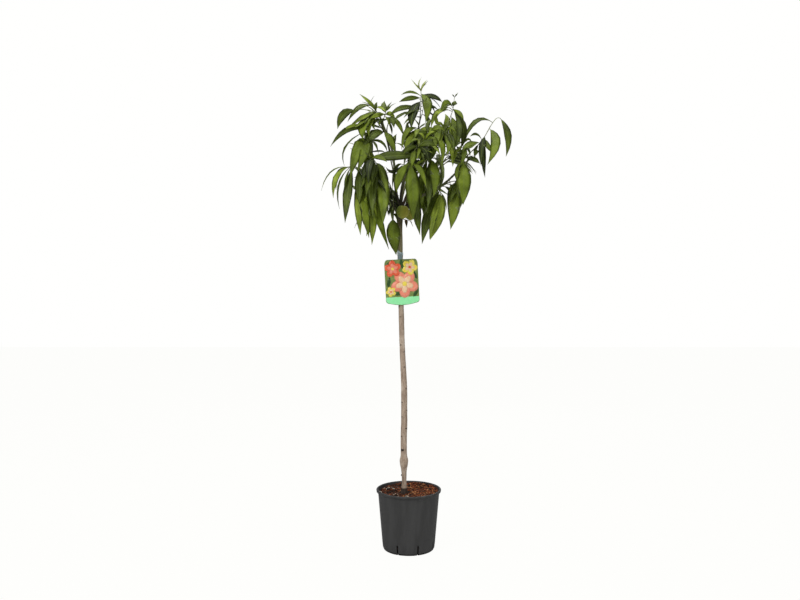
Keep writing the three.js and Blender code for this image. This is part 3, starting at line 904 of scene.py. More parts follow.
@dataclass
class RootBall:
    """The potting mix, heaped against the wall on one side, under a scatter of chopped bark."""

    container: Container
    bank_bearing: float = 40.0
    bank_power: float = 1.5
    drift: float = 4 * MM  # how much more it is heaped against the wall behind
    level_radius: float = 28 * MM
    gap: float = 0.4 * MM
    clear: float = 9 * MM  # how near chips come to the middle of the stem
    rings: int = 90
    columns: int = 200
    chips: int = 1500
    chip_length: Pair = (3.5 * MM, 12 * MM)
    chip_width: Pair = (0.3, 0.6)  # shares of the length
    chip_depth: Pair = (0.14, 0.3)
    left_tones: Sequence[float] = (0.16, 0.02, 0.3, 0.44, 0.08)  # shares of the tones of ChipTone
    right_tones: Sequence[float] = (0.44, 0.16, 0.34, 0.06, 0.0)
    seed: int = 23
    grain: Grain = field(default_factory=lambda: Grain(5))

    def __post_init__(self) -> None:
        """Reads the level at the stem's foot and the height of the heap from the frame."""
        self.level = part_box("trunk")[0].z
        self.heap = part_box("soil")[1].z - self.level
        self.edge = float(self.container.body(self.level)) - self.container.wall - self.gap

    def surface(self, x: Array, y: Array) -> Array:
        """The mix's height: level by the stem, rising outwards towards the bank, with lumps on it."""
        radius = np.hypot(x, y)
        out = np.clip((radius - self.level_radius) / (self.edge - self.level_radius), 0, 1)
        toward = 0.5 + 0.5 * np.cos(np.arctan2(y, x) - np.radians(self.bank_bearing))
        behind = np.clip(y / np.maximum(radius, MM), 0, 1)
        lumps = 1.3 * MM * self.grain.at(xyz(x, y, 0.0), 17 * MM, 4)
        heaped = self.heap * toward * out**self.bank_power + self.drift * behind * out**3
        return self.level - 0.6 * MM + heaped + lumps

    def build_mix(self) -> bpy.types.Object:
        """The mix: its lumpy top on a grid of rings, then down the wall and in under it to the middle."""
        share = np.linspace(0.01, 1, self.rings)[::-1, None]
        turn = around(self.columns)[None]
        x, y = share * self.edge * np.cos(turn), share * self.edge * np.sin(turn)
        top = xyz(x, y, self.surface(x, y))
        depths = np.array([2.8 * MM, 3.2 * MM, 34 * MM, 60 * MM, 120 * MM])[:, None]
        inset = np.array([40 * MM, 14 * MM, 14 * MM, 0, 0])[:, None]
        radius = self.container.body(depths) - self.container.wall - self.gap - inset
        side = xyz(radius * np.cos(turn), radius * np.sin(turn), depths)
        pile = Pile()
        pile.tube(np.concatenate([side, top]))
        return pile.piece("root_ball", [PottingMix().material()], ["soil"])

    def build_chips(self) -> bpy.types.Object:
        """Chips are slabs: two rings of six jittered corners, longer one way, each turned and tilted."""
        rng = np.random.default_rng(self.seed)
        count = self.chips
        length = rng.uniform(*self.chip_length, count) * rng.uniform(0.55, 1, count)
        across, deep = (length * rng.uniform(*shares, count) for shares in (self.chip_width, self.chip_depth))
        size = np.stack([length, across, deep], -1) / 2
        ring = heading(around(6))
        slab = np.stack([ring - UP, ring + UP]).reshape(12, 3)
        jitter = 1 + rng.uniform(-0.28, 0.28, (count, 12, 3))
        local = slab[None] * jitter * size[:, None]
        axes = self.frames(rng, count)
        radius = (self.edge - 2 * MM) * np.sqrt(rng.uniform(0.01, 1, count))
        bearing = rng.uniform(0, 2 * np.pi, count)
        x, y = radius * np.cos(bearing), radius * np.sin(bearing)
        foot = Spine("trunk").at(0.0)
        free = np.hypot(x - foot[0], y - foot[1]) > self.clear + length / 2
        middle = xyz(x, y, self.surface(x, y) + size[:, 2] * 0.9)[free]
        points = self.held_in(middle[:, None] + np.einsum("nij,nkj->nki", axes[free], local[free]))
        sides = grid_faces(2, 6, True)
        caps = np.array([[5, 4, 3, 2, 1, 0], [6, 7, 8, 9, 10, 11]])
        tones = self.tones(rng, x[free])
        pile = Pile()
        many = len(points)
        pile.add(points, [(for_each(part, many, 12), np.repeat(tones, len(part))) for part in (sides, caps)])
        return pile.piece("bark_chips", ChipTone.materials(), smooth=False)

    def held_in(self, points: Array) -> Array:
        """Draws chips that reach past the wall's inside back to it."""
        radius = np.hypot(points[..., 0], points[..., 1])
        limit = self.container.body(points[..., 2]) - self.container.wall - self.gap
        pull = np.minimum(1, limit / np.maximum(radius, 1e-9))
        return points * np.stack([pull, pull, np.ones_like(pull)], -1)

    @staticmethod
    def frames(rng: Rng, count: int) -> Array:
        """Turning matrices (count, 3, 3): any bearing, then a tilt of up to half a right angle."""
        bearing, lean = rng.uniform(0, 2 * np.pi, count), rng.normal(0, 0.35, count)
        across = heading(bearing)
        up = unit(UP + xyz(np.sin(bearing * 3) * lean, np.cos(bearing * 5) * lean, 0.0))
        first = unit(across - dot(across, up) * up)
        return np.stack([first, np.cross(up, first), up], -1)

    def tones(self, rng: Rng, x: Array) -> Array:
        """Numbers of ChipTone: rust and tan to the right, black with pale flecks to the left."""
        right = ease((x + 45 * MM) / (70 * MM))[:, None]
        shares = np.array(self.left_tones) * (1 - right) + np.array(self.right_tones) * right
        bounds = np.cumsum(shares, axis=1)
        return (rng.uniform(size=(len(x), 1)) > bounds[:, :-1]).sum(1)


# ---------- Stem and boughs ----------


@dataclass
class Stem:
    """The grafted stem: streaked bark, bud scars with their swellings, a pruned knot and the foot's flare."""

    rows: int = 900
    columns: int = 48
    sunk: float = 5 * MM  # how far its foot goes on down into the mix
    # Scars in front: height and bearing, in degrees from +X.
    scars: tuple[Pair, ...] = (
        (676, -112), (594, -118), (573, -58), (529, -68), (466, -48), (426, -134),
        (403, -40), (384, -136), (351, -50), (327, -134),
    )
    spiral_from: float = 300 * MM
    spiral_to: float = 960 * MM
    spiral_step: float = 37 * MM
    knot: Pair = (288, -118)
    stub: Pair = (210, -164)
    bud_rise: float = 1.15 * MM  # the swelling under a scar
    bud_half: float = 4.5 * MM
    bud_reach: float = 1.15  # how far round the stem it goes, in radians
    scar_half: float = 1.5 * MM
    scar_reach: float = 0.62
    scar_bow: float = 0.8 * MM
    knot_rise: float = 1.7 * MM
    knot_half: float = 5.5 * MM
    ring_line: float = 351 * MM
    collar: Triple = (257 * MM, 7 * MM, 0.7 * MM)  # the union's edge: height, half-length, rise
    foot_flare: float = 2.4 * MM
    flare_half: float = 9 * MM
    foot_dark: float = 0.7  # how much darker the bark is towards its foot
    foot_dark_to: float = 21 * MM
    foot_dark_edge: float = 7 * MM

    def __post_init__(self) -> None:
        """Reads the stem's axis from the frame."""
        self.spine = Spine("trunk", cuts=72)

    @property
    def head(self) -> Array:
        """Where the boughs part, inside the top of the stem."""
        return self.spine.at(0.982)

    def scar_places(self) -> Array:
        """Heights in metres and bearings in radians of every scar; those behind climb in a spiral."""
        behind = np.arange(self.spiral_from, self.spiral_to, self.spiral_step)
        bearing = np.radians(90) + 0.9 * np.sin(np.arange(len(behind)) * DIVERGENCE)
        front = np.array(self.scars) * [MM, np.pi / 180]
        return np.vstack([front, np.stack([behind, bearing], -1)])

    def build(self) -> bpy.types.Object:
        """Rings up the spine, each radius raised by streaks, lenticels, bud swellings and the knot."""
        share = np.linspace(0, 1, self.rows)
        path = self.spine.at(share)
        path[:, :2] = self.eased(path[:, :2])
        path[0, 2] -= self.sunk
        z = path[:, 2:]
        bearing = around(self.columns)[None]
        radius = self.eased(self.spine.radius(share)[:, None], 5) * np.ones_like(bearing)
        radius += self.collar[2] * bell(z - self.collar[0], self.collar[1]) * (1 + 0.3 * np.cos(2 * bearing))
        skin = heading(bearing, z / (8 * MM))
        radius += 0.16 * MM * Grain(41).at(skin, (0.33, 0.33, 2.4), 3)
        radius += 0.3 * MM * Grain(42).at(skin, (0.9, 0.9, 3.5), 2)
        lenticel = Grain(43).at(skin, (0.42, 0.42, 0.13))
        radius += 0.22 * MM * ease((lenticel - 0.45) / 0.3)
        roots = np.cos(5 * bearing + 0.6) * 0.5 + 0.5
        radius += self.foot_flare * roots * bell(z - self.spine.at(0.0)[2], self.flare_half)
        mark = np.zeros_like(radius)
        for height, toward in self.scar_places():
            near = self.facing(bearing - toward, self.bud_reach)
            radius += self.bud_rise * bell(z - height, self.bud_half) * near**1.5
            bow = self.scar_bow * np.cos(3 * (bearing - toward))
            near = self.facing(bearing - toward, self.scar_reach)
            mark += 0.95 * bell(z - height - bow, self.scar_half) * near
        knot_z, knot_turn = self.knot[0] * MM, np.radians(self.knot[1])
        near = self.facing(bearing - knot_turn, 1.0)
        radius += self.knot_rise * bell(z - knot_z, self.knot_half) * near
        mark += 1.2 * bell(z - knot_z, 3.4 * MM) * near
        mark += 0.75 * bell(z - self.ring_line, 1.3 * MM) * (0.6 + 0.4 * np.cos(bearing * 2))
        mark += self.foot_dark * ease((self.spine.at(0.0)[2] + self.foot_dark_to - z) / self.foot_dark_edge)
        radius[0] *= 0.8
        radius *= 0.45 + 0.55 * ease((1 - share) / 0.012)[:, None]
        pile = Pile()
        pile.tube(rings_along(path, radius, RIGHT), mark=np.clip(mark, 0, 1))
        self.add_stub(pile)
        return pile.piece("stem", [StemBark().material()], ["trunk"])

    def add_stub(self, pile: Pile) -> None:
        """A short cut-off side shoot near the foot, with a dark end."""
        height, bearing = self.stub[0] * MM, np.radians(self.stub[1])
        foot, top = (self.spine.at(share)[2] for share in (0.0, 1.0))
        base = self.spine.at((height - foot) / (top - foot))
        path = base + np.linspace(1 * MM, 9.5 * MM, 12)[:, None] * unit(heading(bearing, 0.55))
        pile.rod(path, (4.0 * MM, 2.5 * MM), 16, UP, mark=(-0.6, 0.8))

    def facing(self, turn: Array, reach: float) -> Array:
        """1 at no turn, easing to 0 at reach radians."""
        return ease(1 - np.abs(self.angle(turn)) / reach)

    @staticmethod
    def angle(turn: Array) -> Array:
        """The turn brought between -pi and pi."""
        return (turn + np.pi) % (2 * np.pi) - np.pi

    @staticmethod
    def eased(values: Array, reach: int = 15) -> Array:
        """Values (rows, n) averaged over their neighbours up to reach rows away, ends repeated."""
        padded = np.pad(values, ((reach, reach), (0, 0)), "edge")
        total = np.cumsum(np.pad(padded, ((1, 0), (0, 0))), axis=0)
        return (total[2 * reach + 1 :] - total[: -2 * reach - 1]) / (2 * reach + 1)


@dataclass
class Boughs:
    """The main limbs above the graft, each one tapering limb from the stem's head into its mass."""

    head: Array
    rows: int = 90
    columns: int = 20
    node_step: float = 21 * MM
    node_rise: float = 0.45 * MM
    young_from: float = 0.1
    young_to: float = 0.95
    names: tuple[str, ...] = (
        "bough_leader", "bough_upper_left", "bough_left", "bough_left_low", "bough_right",
        "bough_upper_right", "bough_front", "bough_back_left", "bough_back_right", "bough_back_top",
        "bough_back_side", "spur_front",
    )

    def __post_init__(self) -> None:
        """Reads every limb's centre line from the frame."""
        self.spines = {name: Spine(name, self.head, 0.28) for name in self.names}

    def build(self) -> list[bpy.types.Object]:
        """Rings along each spine: taper, a collar at the head, a swelling at each bud, and fine streaks."""
        finish = ShootSkin().material()
        made = []
        for number, (name, spine) in enumerate(self.spines.items()):
            share = np.linspace(0, 1, self.rows)[:, None]
            along = share * spine.length
            path = Stem.eased(spine.at(share[:, 0]), 5)
            base = float(spine.radius(0.3)) / 0.84
            tip = float(spine.radius(0.97))
            radius = (base + (tip - base) * share**0.85) * np.ones((1, self.columns))
            radius += 0.25 * base * bell(share, 0.12)
            beat = (along / self.node_step + 0.37 * number) % 1 - 0.5
            radius += self.node_rise * bell(beat * self.node_step, 2.2 * MM)
            skin = heading(around(self.columns), along / (6 * MM))
            radius += 0.14 * MM * Grain(60 + number).at(skin, (0.5, 0.5, 1.6), 3)
            young = ease((share - self.young_from) / (self.young_to - self.young_from))
            pile = Pile()
            sideways = unit(np.cross(spine.at(1.0) - spine.at(0.0), UP))
            pile.tube(rings_along(path, radius, sideways), mark=0.9 * young * np.ones_like(radius))
            made.append(pile.piece(f"limb_{name}", [finish], [name]))
        return made


# ---------- Leaves ----------


class Tone(Numbered):
    """Finishes of leaves, and of their parts; the greens are partly the leaves' own, partly painted light and
    shade.
    """

    PALE = LeafSkin("leaf_pale", tint(158, 170, 86), tint(180, 190, 114), 0.5)
    # a fresh green, partly painted light
    FRESH = LeafSkin("leaf_fresh", tint(126, 144, 42), tint(147, 163, 61))
    MID = LeafSkin("leaf_mid", tint(99, 116, 28), tint(116, 132, 41))
    # a dark green, partly painted shade
    DARK = LeafSkin("leaf_dark", tint(69, 83, 17), tint(83, 97, 26))
    # painted shadow: the green of a leaf in the crown's shade
    SHADOW = LeafSkin("leaf_shadow", tint(38, 48, 8), tint(49, 60, 13))
    UNDER = LeafSkin("leaf_under", tint(122, 136, 76), tint(138, 150, 94), 0.6)
    RIB = LeafSkin("leaf_rib", tint(104, 120, 46), tint(116, 131, 58), 0.5)
    DRY = LeafSkin("leaf_dry", tint(60, 44, 30), tint(96, 74, 50), 0.8)


@dataclass
class Leaf:
    """One leaf: its rib is the arc from base to tip that bend draws towards itself.

    turn rolls the blade about its rib, in degrees; width is its greatest, as a share of its length.
    """

    base: Array
    bend: Array
    tip: Array
    turn: float
    width: float
    tone: Tone
    fold: float = 0.3
    wave: float = 0.1
    phase: float = 0.0
    sickle: float = 0.0


@dataclass(frozen=True)
class Blade:
    """The shape that all leaves share: a stalk, then a lance-shaped blade that is folded along its rib."""

    shares: tuple[float, ...] = (0.0, 0.05, 0.12, 0.24, 0.38, 0.53, 0.68, 0.82, 0.94, 1.0)
    rib_half: float = 0.045  # the pale rib's half-width, as a share of the blade's
    rib_lift: float = 0.25 * MM
    stalk: float = 0.045
    rise_power: float = 0.95
    fall_power: float = 1.15
    stalk_half: float = 0.75 * MM
    tip_half: float = 0.25 * MM
    thickness: float = 1.1 * MM
    camber: float = 0.45  # how much flatter the fold is at the edge than at the rib
    ripples: float = 2.6  # waves along its edge
    ripple_lag: float = 1.1  # how far they are apart on its two edges, in radians

    @property
    def lanes(self) -> Array:
        """Where a ring's points are across the blade, edge to edge, after the keel under the rib."""
        return np.array([0.0, -1.0, -0.5, -self.rib_half, self.rib_half, 0.5, 1.0])

    def outline(self, share: Array) -> Array:
        """Half-width along the leaf as a share of the greatest: s to a power times (1 - s) to another."""
        s = np.clip((share - self.stalk) / (1 - self.stalk), 0, 1)
        peak = self.rise_power / (self.rise_power + self.fall_power)
        most = peak**self.rise_power * (1 - peak) ** self.fall_power
        return s**self.rise_power * (1 - s) ** self.fall_power / most

    def add(self, pile: Pile, leaves: Sequence[Leaf]) -> None:
        """Adds leaves to a pile, as one arched rib each with a ring of seven points at each share of it.

        Args:
            pile: takes the leaves.
            leaves: the leaves to make.
        """
        places = np.array([(leaf.base, leaf.bend, leaf.tip) for leaf in leaves])
        base, bend, tip = places.transpose(1, 0, 2)[:, :, None]
        names = ("turn", "width", "fold", "wave", "phase", "sickle")
        numbers = np.array([[getattr(leaf, name) for leaf in leaves] for name in names])
        turn, width, fold, wave, phase, sickle = numbers[:, :, None, None]
        s = np.array(self.shares)[None, :, None]
        chord = tip - base
        length = np.linalg.norm(chord, axis=-1, keepdims=True)
        rib = (1 - s) ** 2 * base + 2 * (1 - s) * s * bend + s**2 * tip
        side, face, ahead = self.axes(rib, chord, turn)
        slimmest = self.stalk_half + (self.tip_half - self.stalk_half) * s
        half = np.maximum(width * length / 2 * self.outline(s), slimmest)
        rib = rib + side * sickle * length * np.sin(np.pi * s)
        lane = self.lanes[None, None, :, None]
        out = np.abs(lane)
        beat = 2 * np.pi * self.ripples * s[:, :, None] + phase[:, None] + np.sign(lane) * self.ripple_lag
        ripple = wave[:, None] * np.sin(beat)
        lift = half[:, :, None] * (fold[:, None] * out * (1 - self.camber * out) + ripple * out)
        lift = lift - self.thickness * (lane == 0) * (0.5 + bell(s[:, :, None], 0.12))
        lift = lift + self.rib_lift * (out == self.rib_half)
        rings = rib[:, :, None] + side[:, :, None] * lane * half[:, :, None] + face[:, :, None] * lift
        self.add_rings(pile, rings, ahead, [leaf.tone for leaf in leaves])

    @staticmethod
    def axes(rib: Array, chord: Array, turn: Array) -> tuple[Array, Array, Array]:
        """The blade's own directions at each point of its rib.

        Args:
            rib: (leaves, rows, 3).
            chord: (leaves, 1, 3), from base to tip.
            turn: (leaves, 1, 1), degrees that the blade is rolled by, towards the front.

        Returns:
            Across the blade, square to its upper face, and along the rib, each (leaves, rows, 3).
        """
        ahead = unit(np.gradient(rib, axis=1))
        level = chord * [1, 1, 0]
        flat = np.cross(unit(level + FRONT * 1e-4), UP)
        side = unit(flat - dot(flat, ahead) * ahead)
        face = np.cross(side, ahead)
        toward = -np.sign(side[:, :1, 1:2] + 1e-6) * side
        roll = np.radians(turn)
        face = unit(face * np.cos(roll) + toward * np.sin(roll))
        return np.cross(ahead, face), face, ahead

    def add_rings(self, pile: Pile, rings: Array, ahead: Array, tones: Sequence[Tone]) -> None:
        """Closes the leaves' rings into blades with an upper skin, a pale rib and a paler underside."""
        count, rows, lanes = rings.shape[:3]
        poles = np.stack([rings[:, 0].mean(1), rings[:, -1].mean(1) + ahead[:, -1] * MM], 1)
        points = np.concatenate([rings.reshape(count, -1, 3), poles], 1)
        stride = points.shape[1]
        along, across = np.meshgrid(self.shares, (self.lanes + 1) / 2, indexing="ij")
        uv = np.vstack([np.stack([across, along], -1).reshape(-1, 2), [[0.5, 0.0], [0.5, 1.0]]])
        tone = np.array([t.number for t in tones])
        columns = np.full(lanes, -1)  # the leaf's own tone, but for the rib and the underside
        columns[[0, -1]] = Tone.UNDER.number
        columns[lanes // 2] = Tone.RIB.number
        body = np.tile(columns, rows - 1)
        body = np.where(body < 0, tone[:, None], body).ravel()
        stalk = fan_faces(rows * lanes, 0, lanes, False)
        tip = fan_faces(rows * lanes + 1, (rows - 1) * lanes, lanes, True)
        faces = [(for_each(grid_faces(rows, lanes, True), count, stride), body)]
        faces += [(for_each(end, count, stride), np.repeat(tone, lanes)) for end in (stalk, tip)]
        pile.add(points, faces, uv=np.broadcast_to(uv, (count, *uv.shape)))


@dataclass(frozen=True)
class Sight:
    """The studio camera's level view. Steps are counted from its top left, to the right and down."""

    eye: Triple = (-25.5 * MM, -2114 * MM, 726 * MM)
    lens: float = 32.4  # millimetres
    sensor: float = 36.0  # millimetres wide
    wide: int = 800
    high: int = 600

    def step(self, depth: float | Array) -> float | Array:
        """How many metres a step spans at a depth, which is metres behind the stem's plane."""
        return (depth - self.eye[1]) * self.sensor / self.lens / self.wide

    def place(self, across: float, down: float, depth: float) -> Array:
        """The place that a point of the view stands for at a depth."""
        x = self.eye[0] + (across - self.wide / 2) * self.step(depth)
        z = self.eye[2] + (self.high / 2 - down) * self.step(depth)
        return np.array([x, depth, z])

    def seen(self, places: Array) -> Array:
        """The points of the view, across and down, that places (..., 3) are seen at."""
        off = (places[..., [0, 2]] - np.array(self.eye)[[0, 2]]) / self.step(places[..., 1:2])
        return np.array([self.wide / 2, self.high / 2]) + off * [1, -1]


class Mix(Enum):
    """What a shoot's placed leaves are dealt their tones from, painting its light and shade; the last is the
    darkest.
    """

    LIGHT = (Tone.FRESH, Tone.FRESH, Tone.MID)
    LEAFY = (Tone.FRESH, Tone.MID, Tone.DARK)
    PLAIN = (Tone.MID, Tone.MID, Tone.DARK)
    SHADED = (Tone.MID, Tone.DARK, Tone.DARK, Tone.SHADOW)
    # the darkest mix: painted shadow for sprays in the crown's shade
    SHADOW = (Tone.DARK, Tone.SHADOW)

    def deal(self, count: int, rng: Rng) -> list[Tone]:
        """Its tones in turn for a number of leaves, then shuffled."""
        order = rng.permutation(np.resize(np.arange(len(self.value)), count))
        return [self.value[k] for k in order]


@dataclass(frozen=True)
class Tip:
    """A leaf placed in the view: where its stalk starts, the middle of its rib, and its tip.

    depth is how far its tip is behind the stem's plane, in millimetres, and shown is how wide it looks, in
    steps of the view. width is its true greatest width, as a share of its length.
    """

    base: Pair
    middle: Pair
    tip: Pair
    depth: float
    shown: float
    width: float = 0.205


@dataclass(frozen=True)
class Shoot:
    """A leafy shoot that grows on from a limb.

    mass is the frame's mass that its leaves help to fill, and share is where on the limb it starts. Its tips
    are dealt their tones from mix. more is how many further leaves the growing rule adds, and leaf is the
    length of those. way holds the points that it grows through: across and down in the view, and the depth
    in millimetres.
    """

    mass: str
    limb: str
    mix: Mix
    share: float
    more: int
    leaf: float
    way: tuple[Triple, ...]
    tips: tuple[Tip, ...] = ()
    margin: float = 8 * MM  # how far the further leaves may go past the mass's box
    inward: float = 0.0  # how much further they may go forwards
    lift: float = 0.0  # degrees that the further leaves may be raised by, at random


@dataclass(frozen=True)
class Window:
    """A gap in the crown that sky shows through, on the plane of the stem: X and Z ranges in millimetres."""

    left: float
    right: float
    low: float
    high: float


@dataclass(frozen=True)
class Spray:
    """Shoots that the growing rule makes by itself, to fill a mass or what is behind its outline."""

    mass: str
    limb: str
    shoots: int
    more: int
    leaf: float
    margin: float = 8 * MM  # how far its leaves may go past the mass's box
    inward: float = 0.0  # how much further they may go forwards, to the stem
    span: Pair = (0.0, 360.0)  # bearings that its shoots may take, in degrees from +X
    lift: float = 34.0  # degrees by which a leaf may rise above its usual slope


